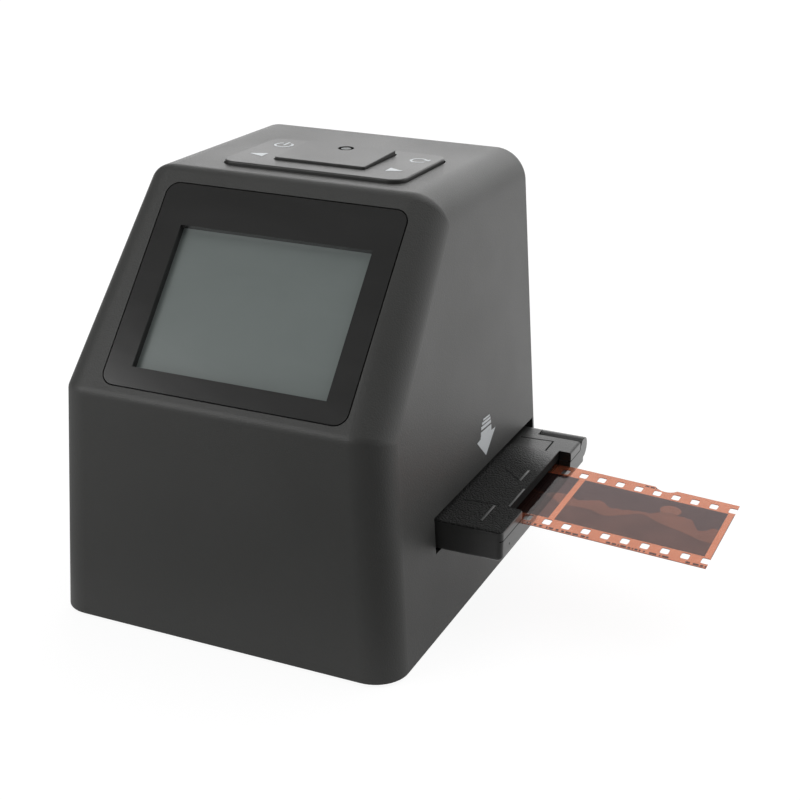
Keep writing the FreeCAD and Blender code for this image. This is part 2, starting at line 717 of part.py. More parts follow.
def upper_housing():
    """The one-piece shell with its posts, its openings and the thick zone that carries the display."""
    shell = cut("housing_shell", housing_form("housing_outer", ZERO, body_low),
                [housing_form("housing_core", S.wall, body_low - S.overrun)])
    margin = S.backing_margin
    backing = slope_box("backing_block", (panel_left - margin, ZERO, -S.backing_thick),
                        (panel_right + margin, S.panel_rise + panel_height + margin, ZERO))
    inside = common("display_backing", backing, housing_form("housing_trim", S.wall / 2, body_low))
    posts = []
    for index, (x, y) in enumerate(post_places):
        posts.append(rod(f"base_post_{index}", (x, y, floor_z), S.base_post_radius, S.base_post_height))
        edge = side_at(post_top) - S.wall / 4
        low_x, high_x = (x, edge) if x is post_x else (-edge, x)
        posts.append(box(f"base_post_rib_{index}", (low_x, y - S.rib_thick / 2, floor_z),
                         (high_x, y + S.rib_thick / 2, post_top)))
    for index, (x, y) in enumerate(key_post_places):
        height = body_top - S.wall / 2 - key_board_top
        posts.append(rod(f"key_post_{index}", (x, y, key_board_top), S.key_post_radius, height))
    for index, (x, z) in enumerate(main_post_places):
        length = rear_at(z) - S.wall / 2 - main_back
        posts.append(rod(f"main_post_{index}", (x, main_back, z), S.main_post_radius, length, "y"))
    solid = fuse("housing_solid", [shell, inside] + posts)
    over = S.overrun
    gap = S.panel_gap
    recess = block("panel_recess", (panel_left - gap, S.panel_rise - gap, -S.panel_thick),
                   (panel_right + gap, S.panel_rise + panel_height + gap, over), S.panel_round + gap)
    tilt(recess, ZERO, ZERO, ZERO)
    well = slope_box("display_well",
                     (glass_low_u - S.fit_gap, glass_low_v - S.fit_gap, -(S.backing_thick + over)),
                     (glass_high_u + S.fit_gap, glass_high_v + S.fit_gap, over))
    key_gap = S.run_gap
    key_hole = block("key_hole", (key_left - key_gap, key_front - key_gap, body_top - S.wall - over),
                     (key_right + key_gap, key_rear + key_gap, body_top + over), S.key_round + key_gap)
    slot = box("tray_slot", (ZERO, slot_front, slot_low), (half_base + over, slot_rear, slot_top))
    slit_low = S.tray_low + S.film_lift - S.slit_drop
    half_slit = S.film_width / 2 + S.slit_margin
    slit = box("film_slit", (-(half_base + over), film_middle - half_slit, slit_low),
               (ZERO, film_middle + half_slit, slit_low + S.slit_height))
    card_slot = box("card_slot", (-(half_base + over), main_back - S.fit_gap, card_low - S.fit_gap),
                    (-(half_base - S.wall * 4), main_back + S.card_thick + S.fit_gap,
                     card_low + S.card_height + S.fit_gap))
    usb_hole = box("cable_hole", (S.usb_shift - S.usb_width / 2 - S.run_gap, main_back,
                                  usb_low - S.run_gap),
                   (S.usb_shift + S.usb_width / 2 + S.run_gap, half_depth + over,
                    usb_low + S.usb_height + S.run_gap))
    holes = []
    for index, (x, y) in enumerate(post_places):
        holes.append(rod(f"base_screw_hole_{index}", (x, y, floor_z - over),
                         S.base_screw_radius + S.screw_gap, S.base_screw_length + over))
    for index, (x, y) in enumerate(key_post_places):
        holes.append(rod(f"key_screw_hole_{index}", (x, y, key_board_top - over),
                         S.small_screw_radius + S.screw_gap, S.small_screw_length - S.board_thick + over))
    for index, (x, z) in enumerate(main_post_places):
        holes.append(rod(f"main_screw_hole_{index}", (x, main_back - over, z),
                         S.small_screw_radius + S.screw_gap, S.small_screw_length - S.main_thick + over, "y"))
    for index, (u, v) in enumerate([(u, v) for u in screw_u for v in ear_v]):
        depth = S.small_screw_length - S.frame_thick
        holes.append(slope_rod(f"display_screw_hole_{index}", (u, v + S.ear_height / 2, ear_w - over),
                               S.small_screw_radius + S.screw_gap, depth + over))
    part(cut("upper_housing", solid, [recess, well, key_hole, slot, slit, card_slot, usb_hole] + holes),
         "upper_housing")


foot_x = half_base - S.foot_inset_x
foot_y = half_depth - S.foot_inset_y
foot_places = [(x, y) for x in (-foot_x, foot_x) for y in (-foot_y, foot_y)]


def base_plate():
    """The plate that closes the housing from below, with screw wells and foot recesses."""
    gap = S.fit_gap
    half_x = side_at(floor_z) - S.wall - gap
    half_y = rear_at(floor_z) - S.wall - gap
    body = new_body("base_plate")
    outline = sketch_on(body, "XY_Plane", body_low, "base_outline")
    front_y = S.wall + gap + S.front_lean * (S.base_thick / S.belt_height) - half_depth
    draw_rectangle(outline, (-half_x, front_y), (half_x, half_y))
    pad(body, outline, S.base_thick)
    round_edges(body, S.side_round - S.wall,
                lambda edge: is_upright(edge) and edge.CenterOfMass.y < 0)
    feet = sketch_on(body, "XY_Plane", body_low, "foot_recess")
    for place in foot_places:
        draw_circle(feet, place, S.foot_radius + S.fit_gap)
    pocket(body, feet, S.foot_sink, backwards=True)
    wells = sketch_on(body, "XY_Plane", body_low, "screw_well")
    for place in post_places:
        draw_circle(wells, place, S.screw_head_radius + S.fit_gap)
    pocket(body, wells, S.screw_head_height, backwards=True)
    holes = sketch_on(body, "XY_Plane", floor_z, "base_screw_hole")
    for place in post_places:
        draw_circle(holes, place, S.base_screw_radius + S.fit_gap)
    pocket(body, holes, S.base_thick)
    part(body, "base_plate")

    feet = []
    for index, (x, y) in enumerate(foot_places):
        foot = new_body(f"foot_{index}")
        profile = sketch_on(foot, "XZ_Plane", ZERO, f"foot_profile_{index}")
        height = S.foot_stand + S.foot_sink
        rim = S.foot_radius
        bevel = S.foot_stand / 2
        draw_outline(profile, [(ZERO, ZERO), (rim - bevel, ZERO), (rim, bevel), (rim, height),
                               (ZERO, height)])
        revolve(foot, profile)
        move(foot, (x, y, ZERO))
        feet.append(foot)
    part(group("rubber_feet", feet), "rubber_feet")

    screws = []
    for index, (x, y) in enumerate(post_places):
        seat = body_low + S.screw_head_height
        length = S.base_screw_length + S.base_thick - S.screw_head_height - S.fit_gap
        screws.append(screw(f"base_screw_{index}", (x, y, seat), S.base_screw_radius, length,
                            S.screw_head_radius, S.screw_head_height))
    part(group("base_screws", screws), "base_screws")


# Display

def display():
    """The panel in the slope, the glass behind it and the frame that holds the glass."""
    panel = new_body("screen_panel")
    outline = sketch_on(panel, "XY_Plane", -S.panel_thick, "panel_outline")
    draw_rectangle(outline, (panel_left, S.panel_rise), (panel_right, S.panel_rise + panel_height))
    pad(panel, outline, S.panel_thick)
    round_edges(panel, S.panel_round, is_upright)
    window = sketch_on(panel, "XY_Plane", ZERO, "window_outline")
    draw_rectangle(window, (window_left, window_rise), (window_right, window_rise + window_height))
    pocket(panel, window, S.panel_thick)
    tilt(panel, ZERO, ZERO, ZERO)
    part(panel, "screen_panel")

    part(slope_box("display_glass", (glass_low_u, glass_low_v, glass_back),
                   (glass_high_u, glass_high_v, -S.panel_thick)), "display_glass")

    sheet = S.frame_thick
    tray = slope_box("frame_block", (glass_low_u, glass_low_v, frame_back),
                     (glass_high_u, glass_high_v, glass_back))
    hollow = slope_box("frame_hollow", (glass_low_u + sheet, glass_low_v + sheet, frame_back + sheet),
                       (glass_high_u - sheet, glass_high_v - sheet, glass_back + S.overrun))
    ears = []
    holes = []
    for side, u in enumerate(screw_u):
        for row, v in enumerate(ear_v):
            low_u = glass_low_u - S.fit_gap - S.ear_width if side == 0 else glass_high_u - sheet
            high_u = glass_low_u + sheet if side == 0 else glass_high_u + S.fit_gap + S.ear_width
            ears.append(slope_box(f"frame_ear_{side}{row}", (low_u, v, ear_w - sheet),
                                  (high_u, v + S.ear_height, ear_w)))
            holes.append(slope_rod(f"frame_ear_hole_{side}{row}",
                                   (u, v + S.ear_height / 2, ear_w - S.overrun),
                                   S.small_screw_radius + S.screw_gap, S.overrun * 2))
    part(cut("display_frame", fuse("frame_body", [tray] + ears), [hollow] + holes), "display_frame")

    gap = S.fit_gap
    light_back = frame_back + sheet + gap
    part(slope_box("display_backlight", (glass_low_u + sheet + gap, glass_low_v + sheet + gap, light_back),
                   (glass_high_u - sheet - gap, glass_high_v - sheet - gap, light_back + S.backlight_thick)),
         "display_backlight")

    screws = []
    for index, (u, v) in enumerate([(u, v) for u in screw_u for v in ear_v]):
        seat = ear_w - sheet
        middle = v + S.ear_height / 2
        thread = slope_rod(f"display_screw_thread_{index}", (u, middle, seat), S.small_screw_radius,
                           S.small_screw_length - gap)
        head = slope_rod(f"display_screw_head_{index}", (u, middle, seat - S.small_head_height),
                         S.small_head_radius, S.small_head_height)
        screws.append(fuse(f"display_screw_{index}", [thread, head]))
    part(group("display_screws", screws), "display_screws")


# Keys

enter_front = key_front + S.enter_setback
enter_rear = enter_front + S.enter_depth
enter_middle = (enter_front + enter_rear) / 2
enter_left = enter_x - S.enter_width / 2
enter_right = enter_x + S.enter_width / 2
enter_top_front = key_top + S.enter_rise
enter_top_rear = enter_top_front + S.enter_slant
ring_y = enter_rear - S.ring_setback
ring_top = enter_top_rear - S.ring_sink
switch_top = key_board_top + S.switch_height


def keys():
    """The rocking key plate with its mat and board, and the enter button with its status light."""
    plate = new_body("key_plate")
    body_outline = sketch_on(plate, "XY_Plane", key_low, "key_outline")
    draw_rectangle(body_outline, (key_left, key_front), (key_right, key_rear))
    pad(plate, body_outline, S.key_thick)
    round_edges(plate, S.key_round, is_upright)
    round_edges(plate, S.key_edge, at_height(key_top))
    flange = sketch_on(plate, "XY_Plane", key_low, "key_flange_outline")
    out = S.key_flange
    draw_rectangle(flange, (key_left - out, key_front - out), (key_right + out, key_rear + out))
    pad(plate, flange, S.key_flange_thick)
    round_edges(plate, S.key_round, lambda edge: is_upright(edge)
                and abs(edge.CenterOfMass.x - S.key_shift.number) > (half_key + out).number - NEAR)
    gap = S.run_gap
    hole = sketch_on(plate, "XY_Plane", key_top + S.overrun, "enter_hole")
    draw_rectangle(hole, (enter_left - gap, enter_front - gap), (enter_right + gap, enter_rear + gap))
    pocket(plate, hole, S.key_thick + S.overrun * 2)
    inner = (S.enter_width / 2 + gap).number
    round_edges(plate, S.enter_round + gap, lambda edge: is_upright(edge)
                and abs(abs(edge.CenterOfMass.x - enter_x.number) - inner) < NEAR)
    rebate = sketch_on(plate, "XY_Plane", key_low, "enter_rebate")
    room = S.enter_flange + gap
    draw_rectangle(rebate, (enter_left - room, enter_front - gap), (enter_right + room, enter_rear + gap))
    pocket(plate, rebate, S.enter_rebate, backwards=True)
    part(plate, "key_plate")

    button = new_body("enter_button")
    flange_top = key_low + S.enter_rebate - S.enter_flange_gap
    flange_low = flange_top - S.enter_flange_thick
    cap = sketch_on(button, "YZ_Plane", enter_left, "enter_side")
    draw_outline(cap, [(enter_front, flange_low), (enter_rear, flange_low), (enter_rear, enter_top_rear),
                       (enter_front, enter_top_front)])
    pad(button, cap, S.enter_width)
    round_edges(button, S.enter_round, is_upright)
    round_edges(button, S.enter_edge,
                lambda edge: edge.BoundBox.ZMin > enter_top_front.number - S.enter_edge.number)
    flange = sketch_on(button, "XY_Plane", flange_low, "enter_flange_outline")
    out = S.enter_flange
    draw_rectangle(flange, (enter_left - out, enter_front), (enter_right + out, enter_rear))
    pad(button, flange, S.enter_flange_thick)
    stem_low = switch_top + S.key_travel_gap
    stem = sketch_on(button, "XY_Plane", stem_low, "enter_stem")
    draw_circle(stem, (enter_x, enter_middle), S.enter_stem_radius)
    pad(button, stem, flange_low - stem_low)
    light = sketch_on(button, "XY_Plane", enter_top_rear + S.overrun, "ring_hole")
    draw_circle(light, (enter_x, ring_y), S.ring_radius)
    pocket(button, light, enter_top_rear - flange_low + S.overrun * 2)
    part(button, "enter_button")

    margin = S.mat_margin
    sheet = block("mat_sheet", (key_left + margin, key_front + margin, mat_low),
                  (key_right - margin, key_rear - margin, mat_low + S.mat_thick / 2), S.key_round)
    pads = [sheet]
    for index, (x, y) in enumerate([(x, y) for x in (-1, 1) for y in (-1, 1)]):
        pads.append(rod(f"mat_pad_{index}", (S.key_shift + key_width * S.mat_pad_share_x * x,
                                             key_middle + S.key_depth * S.mat_pad_share_y * y, mat_low),
                        S.mat_pad_radius, S.mat_thick))
    hole = rod("mat_hole", (enter_x, enter_middle, mat_low - S.overrun), S.switch_size + gap,
               S.mat_thick + S.overrun * 2)
    ring_hole = rod("mat_ring_hole", (enter_x, ring_y, mat_low - S.overrun), S.ring_radius,
                    S.mat_thick + S.overrun * 2)
    part(cut("key_mat", fuse("mat_body", pads), [hole, ring_hole]), "key_mat")

    reach = S.key_board_margin
    board = box("key_board_sheet", (key_left - reach, key_front, key_board_low),
                (key_right + reach, key_rear + S.key_flange, key_board_top))
    holes = [rod(f"key_board_hole_{index}", (x, y, key_board_low - S.overrun),
                 S.small_screw_radius + S.screw_gap, S.board_thick + S.overrun * 2)
             for index, (x, y) in enumerate(key_post_places)]
    part(cut("key_board", board, holes), "key_board")
    screws = [screw(f"key_board_screw_{index}", (x, y, key_board_low), S.small_screw_radius,
                    S.small_screw_length - S.fit_gap, S.small_head_radius, S.small_head_height)
              for index, (x, y) in enumerate(key_post_places)]
    part(group("key_board_screws", screws), "key_board_screws")

    half_switch = S.switch_size / 2
    part(box("enter_switch", (enter_x - half_switch, enter_middle - half_switch, key_board_top),
             (enter_x + half_switch, enter_middle + half_switch, switch_top)), "enter_switch")

    part(tube("status_ring", (enter_x, ring_y, flange_low), S.ring_radius, S.ring_bore,
              ring_top - flange_low), "status_ring")
    half = S.led_size / 2
    part(box("status_led", (enter_x - half, ring_y - half, key_board_top),
             (enter_x + half, ring_y + half, key_board_top + S.led_height)), "status_led")
    part(rod("status_light_guide", (enter_x, ring_y, key_low), S.ring_bore,
             ring_top + S.light_rise - key_low), "status_light_guide")


# Main board

def main_board():
    """The upright board on the rear wall with its chips and its sockets."""
    sheet = box("main_board_sheet", (-main_half, main_front, S.main_low),
                (main_half, main_back, main_top))
    holes = [rod(f"main_board_hole_{index}", (x, main_front - S.overrun, z),
                 S.small_screw_radius + S.screw_gap, S.main_thick + S.overrun * 2, "y")
             for index, (x, z) in enumerate(main_post_places)]
    part(cut("main_board", sheet, holes), "main_board")
    screws = [screw(f"main_board_screw_{index}", (x, main_front, z), S.small_screw_radius,
                    S.small_screw_length - S.fit_gap, S.small_head_radius, S.small_head_height, "y")
              for index, (x, z) in enumerate(main_post_places)]
    part(group("main_board_screws", screws), "main_board_screws")

    chip_z = main_middle
    chips = [box("main_chip", (-S.chip_size / 2, main_front - S.chip_height, chip_z - S.chip_size / 2),
                 (S.chip_size / 2, main_front, chip_z + S.chip_size / 2))]
    for index, side in enumerate((-1, 1)):
        x = S.chip_size * side
        small = S.small_chip_size / 2
        chips.append(box(f"memory_chip_{index}", (x - small, main_front - S.chip_height, chip_z - small),
                         (x + small, main_front, chip_z + small)))
    part(group("main_chips", chips), "main_chips")
    cans = []
    for index in range(3):
        x = S.chip_size + S.capacitor_radius * 3 * index
        cans.append(rod(f"capacitor_{index}", (x, main_front - S.capacitor_height, chip_z + S.chip_size),
                        S.capacitor_radius, S.capacitor_height, "y"))
    part(group("capacitors", cans), "capacitors")

    wall = S.card_sheet
    card_right = card_left + S.card_length
    card_rear = main_back + S.card_thick
    shell = box("card_shell", (card_left, main_back, card_low),
                (card_right, card_rear, card_low + S.card_height))
    mouth = box("card_mouth", (card_left - S.overrun, main_back + wall, card_low + wall),
                (card_right - wall, card_rear - wall, card_low + S.card_height - wall))
    part(cut("card_socket", shell, [mouth]), "card_socket")

    usb_left = S.usb_shift - S.usb_width / 2
    usb_right = S.usb_shift + S.usb_width / 2
    usb_end = rear_at(usb_low) - S.usb_sink
    sheet = S.usb_sheet
    case = box("cable_socket_case", (usb_left, main_back, usb_low),
               (usb_right, usb_end, usb_low + S.usb_height))
    hollow = box("cable_socket_hollow", (usb_left + sheet, main_back + S.wall, usb_low + sheet),
                 (usb_right - sheet, usb_end + S.overrun, usb_low + S.usb_height - sheet))
    part(cut("cable_socket", case, [hollow]), "cable_socket")


# Tunnel and light

guide_front = slot_front + S.fit_gap
guide_rear = slot_rear - S.fit_gap
guide_low = slot_low - S.guide_thick
rail_top = slot_top + S.fit_gap
leg_places = [(x, y) for x in (-S.guide_leg_x, S.guide_leg_x)
              for y in (guide_front + S.guide_leg_inset, guide_rear - S.guide_leg_inset)]
picture_low_x = S.axis_shift - S.picture_length / 2
picture_low_y = film_middle - S.picture_width / 2
picture_high_x = S.axis_shift + S.picture_length / 2
picture_high_y = film_middle + S.picture_width / 2


def picture_hole(name, low_z, high_z, margin):
    """The light's way round the picture, as a tool to cut with."""
    return box(name, (picture_low_x - margin, picture_low_y - margin, low_z),
               (picture_high_x + margin, picture_high_y + margin, high_z))


def tunnel():
    """The two guides that the tray runs between, with the spring that holds it in place."""
    half = S.guide_half
    rail = S.rail_thick
    floor = box("guide_floor", (-half, guide_front, guide_low), (half, guide_rear, slot_low))
    front_rail = box("guide_front_rail", (-half, guide_front, slot_low), (half, guide_front + rail, rail_top))
    rear_rail = box("guide_rear_rail", (-half, tray_far + S.run_gap, slot_low), (half, guide_rear, rail_top))
    legs = [rod(f"guide_leg_{index}", (x, y, floor_z), S.guide_leg_radius, guide_low - floor_z)
            for index, (x, y) in enumerate(leg_places)]
    hole = picture_hole("guide_picture", guide_low - S.overrun, slot_low + S.overrun, S.aperture_margin)
    part(cut("lower_guide", fuse("lower_guide_body", [floor, front_rail, rear_rail] + legs), [hole]),
         "lower_guide")

    plate = box("upper_guide_plate", (-half, guide_front, rail_top),
                (half, guide_rear, rail_top + S.guide_thick))
    hole = picture_hole("upper_guide_picture", rail_top - S.overrun, rail_top + S.guide_thick + S.overrun,
                        S.aperture_margin)
    part(cut("upper_guide", plate, [hole]), "upper_guide")

    spring = new_body("detent_spring")
    middle = (slot_low + slot_top) / 2
    sketch = sketch_on(spring, "XY_Plane", middle - S.spring_height / 2, "spring_run")
    seat = guide_front + rail
    bow = seat + S.spring_bow
    end = S.spring_length / 2
    points = [(-end, seat), (-end / 4, bow), (end / 4, bow), (end, seat)]
    behind = [(x, y + S.spring_thick) for x, y in reversed(points)]
    draw_outline(sketch, points + behind)
    pad(spring, sketch, S.spring_height)
    part(spring, "detent_spring")


def light():
    """The box under the film: LEDs on a board, and the diffuser over them."""
    half_x = S.light_length / 2
    half_y = S.light_width / 2
    x = S.axis_shift
    y = film_middle
    wall = S.light_wall
    top = guide_low - S.fit_gap
    case = box("light_case", (x - half_x, y - half_y, floor_z), (x + half_x, y + half_y, top))
    ledge = top - S.diffuser_thick
    seat = box("diffuser_seat", (x - half_x + wall, y - half_y + wall, ledge),
               (x + half_x - wall, y + half_y - wall, top + S.overrun))
    hollow = box("light_hollow", (x - half_x + wall * 2, y - half_y + wall * 2, floor_z + wall),
                 (x + half_x - wall * 2, y + half_y - wall * 2, top))
    board_low = floor_z + wall + S.light_board_lift
    cable_way = box("light_cable_way", (x - half_x - S.overrun, y - S.fit_gap, floor_z + wall),
                    (x - half_x + wall * 3, y + S.light_ribbon + S.fit_gap, board_low))
    part(cut("light_box", case, [seat, hollow, cable_way]), "light_box")
    gap = S.fit_gap
    part(box("diffuser", (x - half_x + wall + gap, y - half_y + wall + gap, ledge),
             (x + half_x - wall - gap, y + half_y - wall - gap, top)), "diffuser")
    board_top = board_low + S.board_thick
    inner_x = half_x - wall * 2 - gap
    inner_y = half_y - wall * 2 - gap
    board = box("led_board_sheet", (x - inner_x, y - inner_y, board_low),
                (x + inner_x, y + inner_y, board_top))
    stud_x = inner_x * S.stud_share
    stud_y = inner_y * S.stud_share
    studs = [rod(f"led_board_stud_{index}", (x + stud_x * side, y + stud_y * row, floor_z + wall),
                 S.small_head_radius, S.light_board_lift)
             for index, (side, row) in enumerate([(-1, 1), (1, 1), (1, -1)])]
    part(fuse("led_board", [board] + studs), "led_board")
    leds = []
    half = S.emitter_size / 2
    for column in (-1, 0, 1):
        for row in (-1, 0, 1):
            cx = x + S.emitter_pitch_x * column
            cy = y + S.emitter_pitch_y * row
            leds.append(box(f"led_{column + 1}{row + 1}", (cx - half, cy - half, board_top),
                            (cx + half, cy + half, board_top + S.led_height)))
    part(group("leds", leds), "leds")


# Optics

funnel_low = rail_top + S.guide_thick
sensor_board_top = key_board_low - S.sensor_gap
mount_high = sensor_board_top - S.board_thick
funnel_high = mount_high - S.mount_height


def funnel_loft(name, inset, low, high):
    """A tapered block from a rectangle at its foot to a square at its head."""
    body = new_body(name)
    foot = sketch_on(body, "XY_Plane", low, f"{name}_foot")
    half_x = S.funnel_length / 2 - inset
    half_y = S.funnel_width / 2 - inset
    draw_rectangle(foot, (S.axis_shift - half_x, film_middle - half_y),
                   (S.axis_shift + half_x, film_middle + half_y))
    head = sketch_on(body, "XY_Plane", high, f"{name}_head")
    reach = S.funnel_top / 2 - inset
    draw_rectangle(head, (S.axis_shift - reach, film_middle - reach),
                   (S.axis_shift + reach, film_middle + reach))
    loft = body.newObject("PartDesign::AdditiveLoft", f"{name}_loft")
    loft.Profile = foot
    loft.Sections = [head]
    loft.Ruled = True
    doc.recompute()
    return body


def optics():
    """Funnel, lens and image sensor over the film."""
    outer = funnel_loft("funnel_outer", ZERO, funnel_low, funnel_high)
    inner = funnel_loft("funnel_inner", S.funnel_wall, funnel_low, funnel_high)
    part(cut("lens_funnel", outer, [inner]), "lens_funnel")

    x = S.axis_shift
    y = film_middle
    reach = S.funnel_top / 2
    bore = S.lens_radius + S.barrel_bore_gap
    case = box("mount_block", (x - reach, y - reach, funnel_high), (x + reach, y + reach, mount_high))
    thread = rod("mount_bore", (x, y, funnel_high - S.overrun), bore, S.mount_height + S.overrun)
    room = S.sensor_size / 2 + S.run_gap
    chamber = box("mount_chamber", (x - room, y - room, funnel_high + S.mount_floor),
                  (x + room, y + room, mount_high + S.overrun))
    screw_at = [(x - S.sensor_screw_reach, y - S.sensor_screw_reach),
                (x + S.sensor_screw_reach, y + S.sensor_screw_reach)]
    pilot = [rod(f"mount_pilot_{index}", (sx, sy, mount_high - S.small_screw_length + S.board_thick),
                 S.small_screw_radius + S.screw_gap, S.small_screw_length + S.overrun)
             for index, (sx, sy) in enumerate(screw_at)]
    part(cut("lens_mount", case, [thread, chamber] + pilot), "lens_mount")

    barrel = new_body("lens_barrel")
    low = funnel_high - S.lens_hang
    high = low + S.lens_length
    profile = sketch_on(barrel, "XZ_Plane", ZERO, "barrel_profile")
    seat = S.glass_rim + S.glass_gap
    glass_bore = S.glass_radius + S.glass_gap
    draw_outline(profile, [
        (glass_bore, low), (S.lens_radius, low), (S.lens_radius, high), (glass_bore, high),
        (glass_bore, high - seat), (S.light_stop, high - seat * 2), (S.light_stop, low + seat * 2),
        (glass_bore, low + seat),
    ])
    revolve(barrel, profile)
    move(barrel, (x, y, ZERO))
    part(barrel, "lens_barrel")

    for label, z, way in (("front_lens", low, 1), ("rear_lens", high, -1)):
        lens = new_body(label)
        cross = sketch_on(lens, "XZ_Plane", ZERO, f"{label}_profile")
        crown = (S.glass_middle - S.glass_rim) / 2
        rim = S.glass_radius
        shoulder = S.light_stop - S.glass_gap
        flat = z + S.glass_rim * way
        points = [(ZERO, z), (rim, z), (rim, flat), (shoulder, flat), (ZERO, flat + crown * way)]
        draw_outline(cross, points if way > 0 else list(reversed(points)))
        revolve(lens, cross)
        move(lens, (x, y, ZERO))
        part(lens, label)

    sheet = box("sensor_board_sheet", (x - reach, y - reach, mount_high),
                (x + reach, y + reach, sensor_board_top))
    holes = [rod(f"sensor_board_hole_{index}", (sx, sy, mount_high - S.overrun),
                 S.small_screw_radius + S.screw_gap, S.board_thick + S.overrun * 2)
             for index, (sx, sy) in enumerate(screw_at)]
    part(cut("sensor_board", sheet, holes), "sensor_board")
    half = S.sensor_size / 2
    part(box("image_sensor", (x - half, y - half, mount_high - S.sensor_thick),
             (x + half, y + half, mount_high)), "image_sensor")
    screws = [screw(f"sensor_screw_{index}", (sx, sy, sensor_board_top), S.small_screw_radius,
                    S.small_screw_length - S.fit_gap, S.small_head_radius, S.small_head_height, "z", -1)
              for index, (sx, sy) in enumerate(screw_at)]
    part(group("sensor_screws", screws), "sensor_screws")


# Film tray

tray_left = -S.tray_left
film_low = S.tray_low + S.film_lift
film_top = film_low + S.film_thick
channel_half = S.film_width / 2 + S.channel_gap
barrel_y = tray_far - S.barrel_radius
barrel_z = tray_top - S.barrel_radius
mouth_low = film_middle - S.mouth_width / 2
mouth_high = film_middle + S.mouth_width / 2
knuckle_right = S.tray_right - S.knuckle_length
knuckle_left = tray_left + S.knuckle_length
hinge_edge = barrel_y - S.barrel_radius - S.hinge_gap
magnet_places = [(S.axis_shift + S.magnet_spread * side, tray_near + S.magnet_inset) for side in (-1, 1)]


def is_near_corner(edge):
    return is_upright(edge) and edge.CenterOfMass.y < tray_near.number + NEAR


def tray():
    """The lower half, the lid that hinges on its rear edge, and what keeps the two together."""
    length = S.tray_right - tray_left
    base = block("tray_base", (tray_left, tray_near, S.tray_low), (S.tray_right, barrel_y, parting))
    round_edges(base, S.tray_corner, is_near_corner)
    round_edges(base, S.tray_edge, lambda edge: at_height(S.tray_low)(edge)
                and edge.CenterOfMass.y < barrel_y.number - NEAR)
    knuckles = [rod(f"tray_knuckle_{side}", (start, barrel_y, barrel_z), S.barrel_radius,
                    S.knuckle_length, "x") for side, start in (("left", tray_left), ("right", knuckle_right))]
    channel = box("film_channel",
                  (tray_left - S.overrun, film_middle - channel_half, film_low - S.channel_play),
                  (S.tray_right + S.overrun, film_middle + channel_half, parting + S.overrun))
    window = picture_hole("tray_picture", S.tray_low - S.overrun, parting + S.overrun, ZERO)
    clearance = rod("tray_hinge_clearance", (knuckle_left, barrel_y, barrel_z), S.barrel_radius + S.hinge_gap,
                    length - S.knuckle_length * 2, "x")
    bore = rod("tray_pin_bore", (tray_left - S.overrun, barrel_y, barrel_z), S.pin_radius + S.screw_gap,
               length + S.overrun - S.pin_cap, "x")
    sockets = [rod(f"magnet_socket_{index}", (mx, my, parting - S.magnet_height),
                   S.magnet_radius + S.screw_gap, S.magnet_height + S.overrun)
               for index, (mx, my) in enumerate(magnet_places)]
    part(cut("tray_lower", fuse("tray_lower_body", [base] + knuckles),
             [channel, window, clearance, bore] + sockets), "tray_lower")

    lid_length = knuckle_right - knuckle_left - S.hinge_gap * 2
    slab = block("lid_slab", (tray_left, tray_near, parting), (S.tray_right, hinge_edge, tray_top))
    round_edges(slab, S.tray_corner, is_near_corner)
    round_edges(slab, S.lid_edge, lambda edge: at_height(tray_top)(edge)
                and edge.CenterOfMass.y < hinge_edge.number - NEAR)
    web = box("lid_web", (knuckle_left + S.hinge_gap, hinge_edge, parting + S.hinge_gap),
              (knuckle_right - S.hinge_gap, barrel_y, tray_top))
    knuckle = rod("lid_knuckle", (knuckle_left + S.hinge_gap, barrel_y, barrel_z), S.barrel_radius,
                  lid_length, "x")
    half_film = S.film_width / 2
    pressure = box("lid_pressure_plate",
                   (tray_left + S.mouth_depth * 2, film_middle - half_film, film_top + S.pressure_gap),
                   (S.tray_right - S.mouth_depth * 2, film_middle + half_film, parting + S.lid_height / 2))
    mouths = [box("lid_mouth_right", (S.tray_right - S.mouth_depth, mouth_low, parting - S.overrun),
                  (S.tray_right + S.overrun, mouth_high, tray_top + S.overrun)),
              box("lid_mouth_left", (tray_left - S.overrun, mouth_low, parting - S.overrun),
                  (tray_left + S.mouth_depth, mouth_high, tray_top + S.overrun))]
    window = picture_hole("lid_picture", parting - S.overrun, tray_top + S.overrun, ZERO)
    bore = rod("lid_pin_bore", (tray_left, barrel_y, barrel_z), S.pin_radius + S.screw_gap, length, "x")
    sockets = [rod(f"keeper_socket_{index}", (mx, my, parting - S.overrun), S.magnet_radius + S.screw_gap,
                   S.magnet_height + S.overrun) for index, (mx, my) in enumerate(magnet_places)]
    part(cut("tray_lid", fuse("lid_body", [slab, web, knuckle, pressure]), mouths + [window, bore] + sockets),
         "tray_lid")

    part(rod("tray_hinge_pin", (tray_left + S.hinge_gap, barrel_y, barrel_z), S.pin_radius,
             length - S.hinge_gap * 2 - S.pin_cap, "x"), "tray_hinge_pin")
    magnets = [rod(f"magnet_{index}", (mx, my, parting - S.magnet_height), S.magnet_radius, S.magnet_height)
               for index, (mx, my) in enumerate(magnet_places)]
    part(group("tray_magnets", magnets), "tray_magnets")
    keepers = [rod(f"keeper_{index}", (mx, my, parting), S.magnet_radius, S.magnet_height)
               for index, (mx, my) in enumerate(magnet_places)]
    part(group("lid_keepers", keepers), "lid_keepers")


FRAMES = 4
HOLES_PER_FRAME = 8


